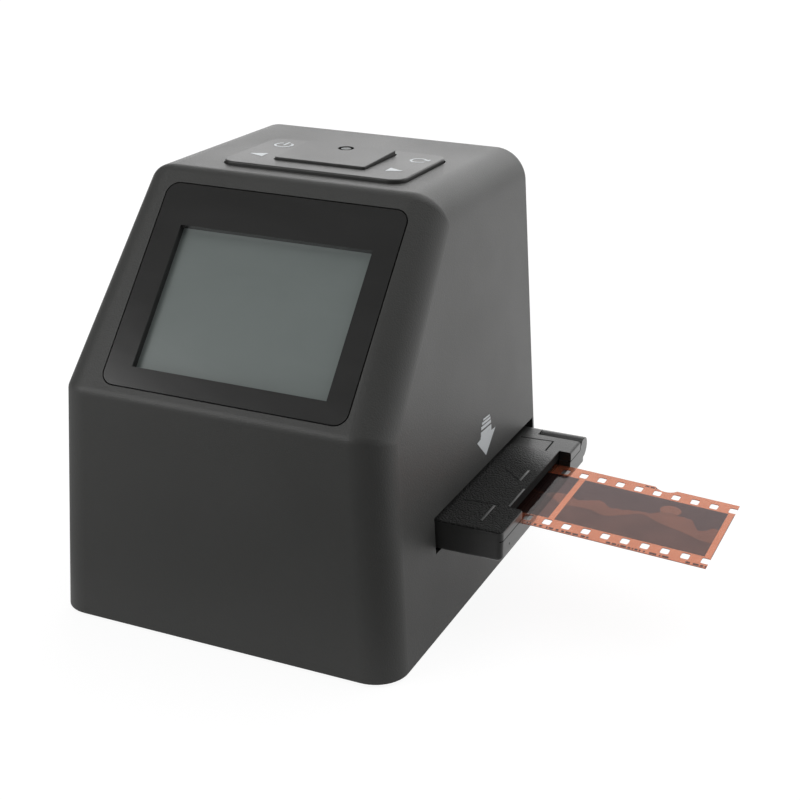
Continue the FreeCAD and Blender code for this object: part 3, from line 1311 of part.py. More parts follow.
def film():
    """Four pictures of film: flat in the tray and hanging a little outside, perforated and notched."""
    body = new_body("film_strip")
    left = S.film_right - S.frame_pitch * FRAMES
    profile = sketch_on(body, "XZ_Plane", -film_middle, "film_profile")
    end_low = film_low - S.film_droop
    thick = S.film_thick
    draw_outline(profile, [(left, film_low), (S.film_bend, film_low), (S.film_right, end_low),
                           (S.film_right, end_low + thick), (S.film_bend, film_low + thick),
                           (left, film_low + thick)])
    pad(body, profile, S.film_width, "Symmetric")
    first = S.film_right - S.perforation_end
    holes = sketch_on(body, "XY_Plane", film_low - S.film_droop - S.overrun, "perforation")
    half_x = S.perforation_length / 2
    half_y = S.perforation_width / 2
    for side in (-1, 1):
        y = film_middle + S.perforation_rows * side / 2
        draw_rounded(holes, (first - half_x, y - half_y), (first + half_x, y + half_y), S.perforation_round)
    feature = pocket(body, holes, S.film_droop + S.overrun * 2, backwards=True)
    pattern = body.newObject("PartDesign::LinearPattern", "perforations")
    pattern.Originals = [feature]
    pattern.Direction = (holes, ["H_Axis"])
    pattern.Reversed = True
    pattern.Occurrences = FRAMES * HOLES_PER_FRAME
    pattern.setExpression("Length", (S.perforation_pitch * (FRAMES * HOLES_PER_FRAME - 1)).text)
    body.Tip = pattern
    doc.recompute()
    notches = sketch_on(body, "XY_Plane", film_low - S.film_droop - S.overrun, "edge_notch")
    edge = film_middle + S.film_width / 2
    for index in range(FRAMES):
        x = S.film_right - S.notch_from_end - S.frame_pitch * index
        draw_circle(notches, (x, edge + S.notch_radius - S.notch_depth), S.notch_radius)
    pocket(body, notches, S.film_droop + S.overrun * 2, backwards=True)
    part(body, "film_strip")


# Cables

def cables():
    """The flat cables inside the housing, each from its connector to the main board."""
    thick = S.ribbon_thick
    start = on_slope(ZERO, (glass_low_v + glass_high_v) / 2, frame_back - thick)
    upper = main_middle + S.chip_size
    left = S.main_post_inset * 2 - main_half
    run = [(start[1], start[2]), (main_front - S.connector_length, upper), (main_front, upper)]
    part(ribbon("display_cable", run, left, left + S.display_ribbon, thick), "display_cable")
    board_rear = key_rear + S.key_flange
    drop = main_top - S.main_post_inset * 2
    run = [(board_rear - S.connector_length, key_board_low - thick),
           (board_rear + S.connector_length, key_board_low - thick),
           (main_front - S.connector_length, drop), (main_front, drop)]
    part(ribbon("key_cable", run, -S.key_ribbon / 2, S.key_ribbon / 2, thick), "key_cable")
    sensor_rear = film_middle + S.funnel_top / 2
    plug = drop - S.connector_height * 2
    run = [(sensor_rear - S.connector_length, sensor_board_top),
           (sensor_rear + S.connector_length, sensor_board_top),
           (main_front - S.connector_length, plug), (main_front, plug)]
    half_ribbon = S.sensor_ribbon / 2
    part(ribbon("sensor_cable", run, S.axis_shift - half_ribbon, S.axis_shift + half_ribbon, thick),
         "sensor_cable")

    thick = S.light_cable_thick
    box_left = S.axis_shift - S.light_length / 2
    outlet = box_left + S.light_wall * 2 + S.connector_length
    rise_x = box_left - S.connector_length - S.light_ribbon
    cable_z = floor_z + S.light_wall + S.fit_gap
    front = slot_front - S.connector_length
    back = S.main_low + S.connector_height
    stub = box("light_cable_stub", (rise_x, film_middle, cable_z),
               (outlet, film_middle + S.light_ribbon, cable_z + thick))
    body = new_body("light_cable_rise")
    sketch = sketch_on(body, "YZ_Plane", rise_x, "light_cable_run")
    end = film_middle + S.light_ribbon
    draw_outline(sketch, [(end, cable_z), (front - thick, cable_z), (front - thick, back + thick),
                          (main_front, back + thick), (main_front, back), (front, back),
                          (front, cable_z + thick), (end, cable_z + thick)])
    pad(body, sketch, S.light_ribbon)
    part(fuse("light_cable", [body, stub]), "light_cable")


def check_and_write():
    """Stops at a failed object or a bad solid, and writes one file for each sub-part."""
    doc.recompute()
    for thing in doc.Objects:
        if "Invalid" in thing.State or "Error" in thing.State:
            raise RuntimeError(f"{thing.Label} failed: {thing.State}")
    for thing in parts:
        if thing.Shape.isNull() or not thing.Shape.isValid() or not thing.Shape.Solids:
            raise RuntimeError(f"{thing.Label} is not a valid solid")
    os.makedirs("parts", exist_ok=True)
    for thing in parts:
        thing.Shape.exportStep(os.path.join("parts", f"{thing.Label}.step"))
        print(thing.Label, len(thing.Shape.Solids), round(thing.Shape.Volume, 1))


upper_housing()
base_plate()
display()
keys()
main_board()
tunnel()
light()
optics()
tray()
film()
cables()
check_and_write()
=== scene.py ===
import json
import math

import bpy
from mathutils import Matrix, Vector


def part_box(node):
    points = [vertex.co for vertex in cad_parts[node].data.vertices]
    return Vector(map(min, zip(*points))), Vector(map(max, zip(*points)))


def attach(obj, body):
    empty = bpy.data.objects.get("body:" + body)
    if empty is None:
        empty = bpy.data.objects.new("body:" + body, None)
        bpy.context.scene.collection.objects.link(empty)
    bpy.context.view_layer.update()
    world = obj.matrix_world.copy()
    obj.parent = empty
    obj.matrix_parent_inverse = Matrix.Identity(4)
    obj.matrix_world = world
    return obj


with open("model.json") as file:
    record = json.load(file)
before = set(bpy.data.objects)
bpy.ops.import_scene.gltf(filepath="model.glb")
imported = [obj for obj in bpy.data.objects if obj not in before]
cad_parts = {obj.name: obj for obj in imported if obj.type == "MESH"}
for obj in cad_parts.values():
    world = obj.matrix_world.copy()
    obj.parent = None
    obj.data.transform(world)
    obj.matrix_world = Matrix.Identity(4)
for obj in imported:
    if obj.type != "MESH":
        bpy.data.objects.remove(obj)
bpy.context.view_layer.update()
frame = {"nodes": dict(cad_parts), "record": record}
bpy.ops.object.select_all(action="DESELECT")


# Places read from the parts

PLATE_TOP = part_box("key_plate")[1].z
LID_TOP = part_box("tray_lid")[1].z
TRAY_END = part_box("tray_lower")[1].x
FILM_MIDDLE = (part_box("film_strip")[0].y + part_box("film_strip")[1].y) / 2
WALL_FOOT = Vector((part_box("upper_housing")[1].x, 0.0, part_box("upper_housing")[0].z))


# Nodes

# A noise stays mostly between these two values
NOISE_LOW = 0.3
NOISE_HIGH = 0.7

# The Mix node keeps one set of sockets for each kind of data
MIX_FACTOR = 0
VECTOR_SOCKETS = (4, 5, 1)
COLOUR_SOCKETS = (6, 7, 2)


def add(tree, kind, **settings):
    """A node with its settings; a setting named after a socket sets that socket's value."""
    node = tree.nodes.new(kind)
    for key, value in settings.items():
        label = key.replace("_", " ")
        if label in node.inputs and not hasattr(node, key):
            node.inputs[label].default_value = value
        else:
            setattr(node, key, value)
    return node


def feed(tree, socket, value):
    """Feeds a socket from another one, or with a plain number or colour."""
    if isinstance(value, bpy.types.NodeSocket):
        tree.links.new(value, socket)
    elif isinstance(value, tuple):
        socket.default_value = (*value, 1.0)
    else:
        socket.default_value = value


def maths(tree, operation, *values):
    """A maths node fed by sockets or plain numbers; returns its output."""
    node = add(tree, "ShaderNodeMath", operation=operation)
    for socket, value in zip(node.inputs, values):
        feed(tree, socket, value)
    return node.outputs[0]


def product(tree, first, *others):
    for other in others:
        first = maths(tree, "MULTIPLY", first, other)
    return first


def within(tree, value, middle, reach):
    """1 where a value lies within a reach of a middle, else 0."""
    gap = maths(tree, "ABSOLUTE", maths(tree, "SUBTRACT", value, middle))
    return maths(tree, "LESS_THAN", gap, reach)


def spread(tree, noise, low, high):
    """The usual range of a noise spread between two numbers."""
    node = add(tree, "ShaderNodeMapRange", From_Min=NOISE_LOW, From_Max=NOISE_HIGH, To_Min=low, To_Max=high)
    tree.links.new(noise, node.inputs["Value"])
    return node.outputs["Result"]


def smooth_step(tree, value, start, end, before, after):
    """Goes smoothly from the level before the start to the level after the end."""
    node = add(tree, "ShaderNodeMapRange", interpolation_type="SMOOTHSTEP", From_Min=start, From_Max=end,
               To_Min=before, To_Max=after)
    tree.links.new(value, node.inputs["Value"])
    return node.outputs["Result"]


def blend_colours(tree, share, first, second, low=NOISE_LOW, high=NOISE_HIGH):
    """Goes from one colour to the other as the share goes from low to high."""
    ramp = add(tree, "ShaderNodeValToRGB")
    for element, position, colour in zip(ramp.color_ramp.elements, (low, high), (first, second)):
        element.position = position
        element.color = (*colour, 1.0)
    tree.links.new(share, ramp.inputs["Fac"])
    return ramp.outputs["Color"]


def over(tree, base, mask, colour):
    """A colour laid over a base where the mask is 1."""
    mix = add(tree, "ShaderNodeMix", data_type="RGBA")
    lower, upper, result = COLOUR_SOCKETS
    feed(tree, mix.inputs[MIX_FACTOR], mask)
    feed(tree, mix.inputs[lower], base)
    feed(tree, mix.inputs[upper], colour)
    return mix.outputs[result]


def object_place(tree):
    return add(tree, "ShaderNodeTexCoord").outputs["Object"]


def split(tree, vector):
    """The three numbers of a vector."""
    node = add(tree, "ShaderNodeSeparateXYZ")
    tree.links.new(vector, node.inputs["Vector"])
    return node.outputs["X"], node.outputs["Y"], node.outputs["Z"]


# Node groups that several finishes share

def new_group(name, inputs, outputs):
    """A shader node group with named inputs, each with its plain value, and named outputs."""
    tree = bpy.data.node_groups.new(name, "ShaderNodeTree")
    for label, value in inputs:
        socket = tree.interface.new_socket(label, in_out="INPUT", socket_type="NodeSocketFloat")
        socket.default_value = value
    for label in outputs:
        tree.interface.new_socket(label, in_out="OUTPUT", socket_type="NodeSocketFloat")
    return tree, add(tree, "NodeGroupInput"), add(tree, "NodeGroupOutput")


def moulded_grain():
    """Fine spark-eroded grain of a mould, with slow patches where it is a little smoother."""
    tree, given, out = new_group("moulded_grain", [("Grains per metre", 3000.0)], ["Height", "Patch"])
    place = object_place(tree)
    grain = add(tree, "ShaderNodeTexNoise", Detail=2.0, Roughness=0.6)
    patch = add(tree, "ShaderNodeTexNoise", Scale=38.0, Detail=3.0, Roughness=0.55)
    tree.links.new(place, grain.inputs["Vector"])
    tree.links.new(place, patch.inputs["Vector"])
    tree.links.new(given.outputs["Grains per metre"], grain.inputs["Scale"])
    tree.links.new(grain.outputs["Fac"], out.inputs["Height"])
    tree.links.new(patch.outputs["Fac"], out.inputs["Patch"])
    return tree


def leather_grain():
    """Coarse pebbled grain: rounded cells with narrow valleys between them."""
    tree, given, out = new_group("leather_grain", [("Pebbles per metre", 1500.0)], ["Height", "Patch"])
    place = object_place(tree)
    warp = add(tree, "ShaderNodeTexNoise", Scale=900.0, Detail=2.0)
    bent = add(tree, "ShaderNodeMix", data_type="VECTOR", factor_mode="UNIFORM")
    straight, warped, result = VECTOR_SOCKETS
    bent.inputs[MIX_FACTOR].default_value = 0.0008
    cells = add(tree, "ShaderNodeTexVoronoi", feature="SMOOTH_F1", Smoothness=0.6, Randomness=1.0)
    patch = add(tree, "ShaderNodeTexNoise", Scale=60.0, Detail=3.0)
    tree.links.new(place, warp.inputs["Vector"])
    tree.links.new(place, bent.inputs[straight])
    tree.links.new(warp.outputs["Color"], bent.inputs[warped])
    tree.links.new(bent.outputs[result], cells.inputs["Vector"])
    tree.links.new(given.outputs["Pebbles per metre"], cells.inputs["Scale"])
    tree.links.new(place, patch.inputs["Vector"])
    tree.links.new(maths(tree, "SUBTRACT", 1.0, cells.outputs["Distance"]), out.inputs["Height"])
    tree.links.new(patch.outputs["Fac"], out.inputs["Patch"])
    return tree


def handling_marks():
    """Faint wiped smears on a gloss surface, as a cloth or a thumb leaves them."""
    tree, given, out = new_group("handling_marks", [("Smear size", 30.0)], ["Smear"])
    turn = add(tree, "ShaderNodeMapping", Rotation=(0.3, 0.2, 0.7), Scale=(1.0, 3.5, 1.0))
    smear = add(tree, "ShaderNodeTexNoise", Detail=4.0, Roughness=0.6, Distortion=0.8)
    tree.links.new(object_place(tree), turn.inputs["Vector"])
    tree.links.new(turn.outputs["Vector"], smear.inputs["Vector"])
    tree.links.new(given.outputs["Smear size"], smear.inputs["Scale"])
    tree.links.new(smear.outputs["Fac"], out.inputs["Smear"])
    return tree


GRAIN = moulded_grain()
PEBBLES = leather_grain()
SMEARS = handling_marks()


# Finishes

def new_finish(name, **sockets):
    """A material with plain values on its shader's own sockets."""
    material = bpy.data.materials.new(name)
    material.use_nodes = True
    tree = material.node_tree
    shader = tree.nodes["Principled BSDF"]
    for key, value in sockets.items():
        shader.inputs[key.replace("_", " ")].default_value = value
    return material, tree, shader


def place_group(tree, group, **values):
    node = add(tree, "ShaderNodeGroup", node_tree=group)
    for key, value in values.items():
        node.inputs[key.replace("_", " ")].default_value = value
    return node


def raise_surface(tree, shader, height, strength, depth):
    bump = add(tree, "ShaderNodeBump", Strength=strength, Distance=depth)
    tree.links.new(height, bump.inputs["Height"])
    tree.links.new(bump.outputs["Normal"], shader.inputs["Normal"])


def grained_plastic(name, dark, light, rough, grains, depth, strength=0.5, **sockets):
    """Moulded plastic with a fine grain."""
    material, tree, shader = new_finish(name, **sockets)
    grain = place_group(tree, GRAIN, Grains_per_metre=grains)
    tree.links.new(blend_colours(tree, grain.outputs["Patch"], dark, light), shader.inputs["Base Color"])
    tree.links.new(spread(tree, grain.outputs["Patch"], *rough), shader.inputs["Roughness"])
    raise_surface(tree, shader, grain.outputs["Height"], strength, depth)
    return material


def gloss_plastic(name, dark, light, rough, smear, **sockets):
    """Polished plastic that shows wiped smears."""
    material, tree, shader = new_finish(name, **sockets)
    marks = place_group(tree, SMEARS, Smear_size=smear)
    tree.links.new(blend_colours(tree, marks.outputs["Smear"], dark, light), shader.inputs["Base Color"])
    tree.links.new(spread(tree, marks.outputs["Smear"], *rough), shader.inputs["Roughness"])
    return material


def brushed_metal(name, dark, light, rough, grains):
    """Metal whose grain makes it unevenly rough."""
    material, tree, shader = new_finish(name, Metallic=1.0)
    grain = place_group(tree, GRAIN, Grains_per_metre=grains)
    tree.links.new(blend_colours(tree, grain.outputs["Patch"], dark, light), shader.inputs["Base Color"])
    tree.links.new(spread(tree, grain.outputs["Height"], *rough), shader.inputs["Roughness"])
    return material


def clear_glass(name, colour, rough):
    material, tree, shader = new_finish(name, Transmission_Weight=1.0, IOR=1.5, Base_Color=(*colour, 1.0))
    marks = place_group(tree, SMEARS, Smear_size=60.0)
    tree.links.new(spread(tree, marks.outputs["Smear"], *rough), shader.inputs["Roughness"])
    return material


# The tray's own places: where its grain ends, its mouth, the line between its halves and a small pit; the
# mouth wall and the pit are darkened with painted shade
TOP_DEPTH = 0.0003
GRAIN_EDGE = 0.0290
GRAIN_SLANT = 0.5
GRAIN_FADE = (0.040, 0.058)
MOUTH_WALL = TRAY_END - 0.0032
MOUTH_WALL_REACH = 0.0002
MOUTH_HALF = 0.0182
END_DEPTH = 0.0006
SEAM_HEIGHT = 0.0270
SEAM_REACH = 0.00013
SEAM_REAR = 0.0381
PIT = (-0.0140, 0.0245)
PIT_RADIUS = 0.0003

# How rough the tray is and by how much more where it is matt, its satin share, and the heights of its grains
TRAY_ROUGH = (0.42, 0.50)
MATT_ROUGHER = 0.35
END_SATIN, LID_SATIN = 0.9, 0.25
PLAIN_PEBBLES, COARSE_PEBBLES = 0.15, 1.35
FINE_GRAIN = 0.22


def tray_finish():
    """Pebbled black plastic, satin on its end, matt and darkened with painted shade on its mouth wall and in
    its pit, its sides painted lighter than its top, with the seam between lid and tray.
    """
    material, tree, shader = new_finish("tray_black_pebbled", Specular_IOR_Level=0.22, Coat_Roughness=0.30)
    x, y, z = split(tree, object_place(tree))
    pebbles = place_group(tree, PEBBLES, Pebbles_per_metre=2100.0)
    fine = place_group(tree, GRAIN, Grains_per_metre=3600.0)
    top = maths(tree, "GREATER_THAN", z, LID_TOP - TOP_DEPTH)
    kept_grain = smooth_step(tree, maths(tree, "MULTIPLY_ADD", x, GRAIN_SLANT, y), *GRAIN_FADE, 1.0, 0.0)
    coarse = product(tree, top, maths(tree, "LESS_THAN", y, GRAIN_EDGE), kept_grain)
    # Painted shade on the wall inside the mouth, where the slot lies dark
    mouth = product(tree, within(tree, x, MOUTH_WALL, MOUTH_WALL_REACH),
                    within(tree, y, FILM_MIDDLE, MOUTH_HALF), maths(tree, "SUBTRACT", 1.0, top))
    end = maths(tree, "GREATER_THAN", x, TRAY_END - END_DEPTH)
    seam = product(tree, within(tree, z, SEAM_HEIGHT, SEAM_REACH), end,
                   maths(tree, "LESS_THAN", y, SEAM_REAR))
    # Painted shade in the small pit on the end
    pit_y = maths(tree, "SUBTRACT", y, PIT[0])
    pit_z = maths(tree, "SUBTRACT", z, PIT[1])
    pit_reach = maths(tree, "ADD", product(tree, pit_y, pit_y), product(tree, pit_z, pit_z))
    pit = product(tree, maths(tree, "LESS_THAN", pit_reach, PIT_RADIUS ** 2), end)
    seam_and_painted_shade = maths(tree, "MAXIMUM", mouth, maths(tree, "MAXIMUM", seam, pit))
    matt = maths(tree, "MAXIMUM", coarse, seam_and_painted_shade)

    lid = blend_colours(tree, pebbles.outputs["Patch"], (0.0105, 0.0107, 0.0104), (0.0150, 0.0153, 0.0149))
    # Sides and end are painted lighter than the lid's top: painted light for how the light falls on each face
    plastic = over(tree, (0.0230, 0.0232, 0.0225), top, lid)
    # Near-black here is painted shade on the mouth wall and in the pit, and the seam's own dark joint
    tree.links.new(over(tree, plastic, seam_and_painted_shade, (0.0030, 0.0030, 0.0030)), shader.inputs["Base Color"])
    rough = spread(tree, pebbles.outputs["Patch"], *TRAY_ROUGH)
    tree.links.new(maths(tree, "MULTIPLY_ADD", matt, MATT_ROUGHER, rough), shader.inputs["Roughness"])
    satin = maths(tree, "MULTIPLY_ADD", top, LID_SATIN - END_SATIN, END_SATIN)
    tree.links.new(product(tree, maths(tree, "SUBTRACT", 1.0, matt), satin), shader.inputs["Coat Weight"])
    share = maths(tree, "MULTIPLY_ADD", coarse, COARSE_PEBBLES - PLAIN_PEBBLES, PLAIN_PEBBLES)
    pebbled = product(tree, pebbles.outputs["Height"], share)
    height = maths(tree, "MULTIPLY_ADD", fine.outputs["Height"], FINE_GRAIN, pebbled)
    raise_surface(tree, shader, height, strength=0.9, depth=0.0003)
    return material


# The film's pictures: the last one lies outside the tray, and the count starts at a place left of the film
PICTURE_PITCH = 0.0377
PICTURE_LENGTH = 0.0362
HALF_PICTURE = 0.0120
LAST_PICTURE = 0.0643
LAST_NUMBER = 5
COUNT_START = LAST_PICTURE - LAST_NUMBER * PICTURE_PITCH

# In each picture a disc stands over a far ridge and a near field
DISC_SHARE = 0.62
DISC_SPREAD = 0.038
DISC_HEIGHT = 0.0066
DISC_RADIUS = 0.0026
RIDGE_RISE, RIDGE_FOOT = 0.016, -0.0055
FIELD_RISE, FIELD_FOOT = 0.018, -0.0125

# From one picture to the next the haze, the ridge and the field move on by this much
HAZE_STEP_X, HAZE_STEP_Z = 0.43, 0.19
RIDGE_STEP = 0.37
FIELD_STEP = 0.71

# Rows of short bars run along both edges of the film
MARK_ROW = 0.01668
NEAR_MARK_REACH = 0.00042
FAR_MARK_REACH = 0.00034
MARK_CELL = 0.00034
MARK_CHANCE = 0.42
MARK_START = 0.0021
NEAR_MARK_PITCH, NEAR_MARK_SHARE = 0.0190, 0.80
FAR_MARK_PITCH, FAR_MARK_SHARE = 0.0380, 0.16


def landscape(tree, place, x, across, along, number):
    """A hazy negative of a landscape, another one in each picture."""
    moved = add(tree, "ShaderNodeVectorMath", operation="ADD")
    shift = add(tree, "ShaderNodeCombineXYZ")
    tree.links.new(maths(tree, "MULTIPLY", number, HAZE_STEP_X), shift.inputs["X"])
    tree.links.new(maths(tree, "MULTIPLY", number, HAZE_STEP_Z), shift.inputs["Z"])
    tree.links.new(place, moved.inputs[0])
    tree.links.new(shift.outputs["Vector"], moved.inputs[1])
    haze = add(tree, "ShaderNodeTexNoise", Scale=160.0, Detail=4.0, Roughness=0.6)
    tree.links.new(moved.outputs["Vector"], haze.inputs["Vector"])
    ridge = add(tree, "ShaderNodeTexNoise", noise_dimensions="1D", Scale=90.0, Detail=3.0, Roughness=0.45)
    tree.links.new(maths(tree, "MULTIPLY_ADD", number, RIDGE_STEP, x), ridge.inputs["W"])
    hill = add(tree, "ShaderNodeTexNoise", noise_dimensions="1D", Scale=45.0, Detail=2.0, Roughness=0.4)
    tree.links.new(maths(tree, "MULTIPLY_ADD", number, FIELD_STEP, x), hill.inputs["W"])
    ridge_line = maths(tree, "MULTIPLY_ADD", ridge.outputs["Fac"], RIDGE_RISE, RIDGE_FOOT)
    field_line = maths(tree, "MULTIPLY_ADD", hill.outputs["Fac"], FIELD_RISE, FIELD_FOOT)
    disc_x = maths(tree, "MULTIPLY", maths(tree, "SUBTRACT", along, DISC_SHARE), DISC_SPREAD)
    disc_y = maths(tree, "SUBTRACT", across, DISC_HEIGHT)
    squares = maths(tree, "ADD", product(tree, disc_x, disc_x), product(tree, disc_y, disc_y))
    reach = maths(tree, "SQRT", squares)

    sky = blend_colours(tree, haze.outputs["Fac"], (0.078, 0.046, 0.046), (0.100, 0.058, 0.056))
    land = blend_colours(tree, haze.outputs["Fac"], (0.165, 0.072, 0.054), (0.205, 0.088, 0.065))
    field = blend_colours(tree, haze.outputs["Fac"], (0.098, 0.050, 0.044), (0.126, 0.063, 0.054))
    with_disc = over(tree, sky, maths(tree, "LESS_THAN", reach, DISC_RADIUS), (0.22, 0.095, 0.068))
    with_land = over(tree, with_disc, maths(tree, "LESS_THAN", across, ridge_line), land)
    picture = over(tree, with_land, maths(tree, "LESS_THAN", across, field_line), field)
    base = blend_colours(tree, haze.outputs["Fac"], (0.56, 0.205, 0.117), (0.62, 0.237, 0.138))
    return base, picture


def edge_marks(tree, x, across):
    """1 on the short bars along the edges of the film."""
    cell = add(tree, "ShaderNodeTexWhiteNoise", noise_dimensions="1D")
    tree.links.new(maths(tree, "FLOOR", maths(tree, "DIVIDE", x, MARK_CELL)), cell.inputs["W"])
    bar = maths(tree, "GREATER_THAN", cell.outputs["Value"], MARK_CHANCE)
    start = maths(tree, "SUBTRACT", x, MARK_START)

    def row(middle, reach, pitch, share):
        zone = maths(tree, "LESS_THAN", maths(tree, "FRACT", maths(tree, "DIVIDE", start, pitch)), share)
        return product(tree, within(tree, across, middle, reach), zone, bar)
    return maths(tree, "MAXIMUM", row(-MARK_ROW, NEAR_MARK_REACH, NEAR_MARK_PITCH, NEAR_MARK_SHARE),
                 row(MARK_ROW, FAR_MARK_REACH, FAR_MARK_PITCH, FAR_MARK_SHARE))


def film_finish():
    """Orange film base with negative pictures, clear bars between them and marks along its edges."""
    material, tree, shader = new_finish("film_orange_base", Roughness=0.08, IOR=1.14, Transmission_Weight=0.9)
    place = object_place(tree)
    x, y, _ = split(tree, place)
    pictures = maths(tree, "DIVIDE", maths(tree, "SUBTRACT", x, COUNT_START), PICTURE_PITCH)
    along = maths(tree, "FRACT", pictures)
    across = maths(tree, "SUBTRACT", y, FILM_MIDDLE)
    base, picture = landscape(tree, place, x, across, along, maths(tree, "FLOOR", pictures))
    exposed = product(tree, maths(tree, "LESS_THAN", along, PICTURE_LENGTH / PICTURE_PITCH),
                      maths(tree, "LESS_THAN", maths(tree, "ABSOLUTE", across), HALF_PICTURE))
    marked = over(tree, base, edge_marks(tree, x, across), (0.075, 0.032, 0.030))
    tree.links.new(over(tree, marked, exposed, picture), shader.inputs["Base Color"])
    return material


def board_finish():
    """Green board with copper runs under its lacquer."""
    material, tree, shader = new_finish("board_green", Coat_Weight=0.4, Coat_Roughness=0.2)
    runs = add(tree, "ShaderNodeTexBrick", offset=0.5, squash=1.0, Scale=220.0, Mortar_Size=0.03,
               Color1=(0.010, 0.090, 0.036, 1.0), Color2=(0.013, 0.105, 0.042, 1.0),
               Mortar=(0.045, 0.190, 0.075, 1.0))
    tree.links.new(object_place(tree), runs.inputs["Vector"])
    tree.links.new(runs.outputs["Color"], shader.inputs["Base Color"])
    tree.links.new(spread(tree, runs.outputs["Fac"], 0.35, 0.45), shader.inputs["Roughness"])
    return material


TRACK_PITCH = 0.0010


def ribbon_finish():
    """Flat cable: copper-coloured tracks side by side."""
    material, tree, shader = new_finish("ribbon_tracks", Coat_Weight=0.3)
    x, _, _ = split(tree, object_place(tree))
    stripe = maths(tree, "FRACT", maths(tree, "DIVIDE", x, TRACK_PITCH))
    tree.links.new(blend_colours(tree, stripe, (0.42, 0.17, 0.045), (0.56, 0.26, 0.075), 0.4, 0.5),
                   shader.inputs["Base Color"])
    tree.links.new(spread(tree, stripe, 0.35, 0.45), shader.inputs["Roughness"])
    return material


FINISHES = {
    "shell_plastic": grained_plastic("shell_charcoal", (0.037, 0.0375, 0.0355), (0.040, 0.0405, 0.0385),
                                     (0.44, 0.50), 2600.0, 0.00012, Specular_IOR_Level=0.5),
    "base_plastic": grained_plastic("base_black", (0.018, 0.018, 0.018), (0.024, 0.024, 0.024),
                                    (0.5, 0.6), 1800.0, 0.00015),
    "foot_rubber": grained_plastic("foot_rubber_black", (0.014, 0.014, 0.014), (0.022, 0.022, 0.021),
                                   (0.72, 0.86), 1200.0, 0.0002, Specular_IOR_Level=0.3),
    "screw_steel": brushed_metal("screw_zinc", (0.42, 0.42, 0.43), (0.55, 0.55, 0.55), (0.28, 0.42), 2400.0),
    "panel_plastic": gloss_plastic("panel_gloss_black", (0.025, 0.025, 0.0245), (0.028, 0.028, 0.0275),
                                   (0.15, 0.20), 24.0, Specular_IOR_Level=0.5),
    "display_glass": gloss_plastic("display_grey", (0.168, 0.192, 0.185), (0.178, 0.203, 0.196),
                                   (0.20, 0.26), 26.0, Specular_IOR_Level=0.5),
    "sheet_steel": brushed_metal("sheet_tinned", (0.50, 0.51, 0.52), (0.62, 0.63, 0.64),
                                 (0.30, 0.40), 1500.0),
    "light_plate": gloss_plastic("light_plate_milky", (0.78, 0.80, 0.80), (0.84, 0.86, 0.86),
                                 (0.4, 0.5), 40.0),
    "ribbon_plastic": ribbon_finish(),
    "key_plastic": grained_plastic("key_charcoal", (0.036, 0.0365, 0.035), (0.040, 0.0405, 0.039),
                                   (0.40, 0.46), 3200.0, 0.00006, Specular_IOR_Level=0.5),
    "mat_rubber": grained_plastic("mat_grey", (0.17, 0.17, 0.17), (0.22, 0.22, 0.22),
                                  (0.7, 0.8), 1200.0, 0.0002),
    "board_laminate": board_finish(),
    "chip_epoxy": grained_plastic("chip_black", (0.010, 0.010, 0.010), (0.016, 0.016, 0.016),
                                  (0.5, 0.6), 4000.0, 0.00008),
    # Ring round the status light: real black plastic, made near-black with almost no gloss so that it also
    # stands in as painted shade of the light's well
    "ring_plastic": gloss_plastic("ring_black_painted_shade", (0.004, 0.004, 0.004), (0.006, 0.006, 0.006),
                                  (0.80, 0.90), 60.0, Specular_IOR_Level=0.03),
    "light_guide": gloss_plastic("light_guide_milky", (0.17, 0.18, 0.18), (0.22, 0.23, 0.23),
                                 (0.5, 0.6), 60.0, Specular_IOR_Level=0.2),
    "led_resin": gloss_plastic("led_yellow", (0.80, 0.74, 0.34), (0.88, 0.82, 0.42), (0.3, 0.4), 60.0),
    "can_aluminium": brushed_metal("can_aluminium", (0.62, 0.62, 0.63), (0.72, 0.72, 0.73),
                                   (0.3, 0.4), 1500.0),
    "inner_plastic": grained_plastic("inner_black", (0.012, 0.012, 0.012), (0.018, 0.018, 0.018),
                                     (0.6, 0.7), 1600.0, 0.00015, Specular_IOR_Level=0.35),
    "white_plastic": grained_plastic("light_box_white", (0.70, 0.70, 0.69), (0.76, 0.76, 0.75),
                                     (0.5, 0.6), 1600.0, 0.00012),
    "lens_glass": clear_glass("lens_clear", (0.92, 0.95, 0.96), (0.02, 0.04)),
    "tray_plastic": tray_finish(),
    "magnet_nickel": brushed_metal("magnet_nickel", (0.60, 0.59, 0.57), (0.68, 0.67, 0.65),
                                   (0.14, 0.22), 900.0),
    "film_base": film_finish(),
}
for row in frame["record"]["subparts"]:
    node = frame["nodes"][row["node"]]
    node.data.materials.clear()
    node.data.materials.append(FINISHES[row["material_slot"]])

PRINT_INK = grained_plastic("print_pale_ink", (0.60, 0.63, 0.65), (0.68, 0.71, 0.73),
                            (0.5, 0.6), 5000.0, 0.00003)
# Lighter than the lid: a painted highlight on the ridges and the mouth edge
RIDGE_HIGHLIGHT = grained_plastic("ridge_painted_highlight", (0.030, 0.030, 0.030), (0.045, 0.045, 0.044),
                        (0.38, 0.46), 3600.0, 0.00005)
# Near-black with little gloss: painted shade for the engraved lines
GROOVE_SHADE = grained_plastic("groove_shadow", (0.003, 0.003, 0.003), (0.004, 0.004, 0.004),
                         (0.7, 0.8), 3000.0, 0.0001, Specular_IOR_Level=0.1)


# Flat shapes, drawn in edit mode

NEAR = 0.00001
INK = 0.00004
SYMBOL_CORNER = 0.00012


def start_edit(tool, **settings):
    """Adds a primitive and enters edit mode with all of it selected."""
    bpy.ops.object.select_all(action="DESELECT")
    tool(**settings)
    bpy.ops.object.mode_set(mode="EDIT")
    bpy.ops.mesh.select_all(action="SELECT")
    return bpy.context.object


def edit_again(piece):
    """Selects a piece alone and enters edit mode."""
    bpy.ops.object.select_all(action="DESELECT")
    piece.select_set(True)
    bpy.context.view_layer.objects.active = piece
    bpy.ops.object.mode_set(mode="EDIT")


def end_edit(piece):
    bpy.ops.object.mode_set(mode="OBJECT")
    piece.select_set(False)


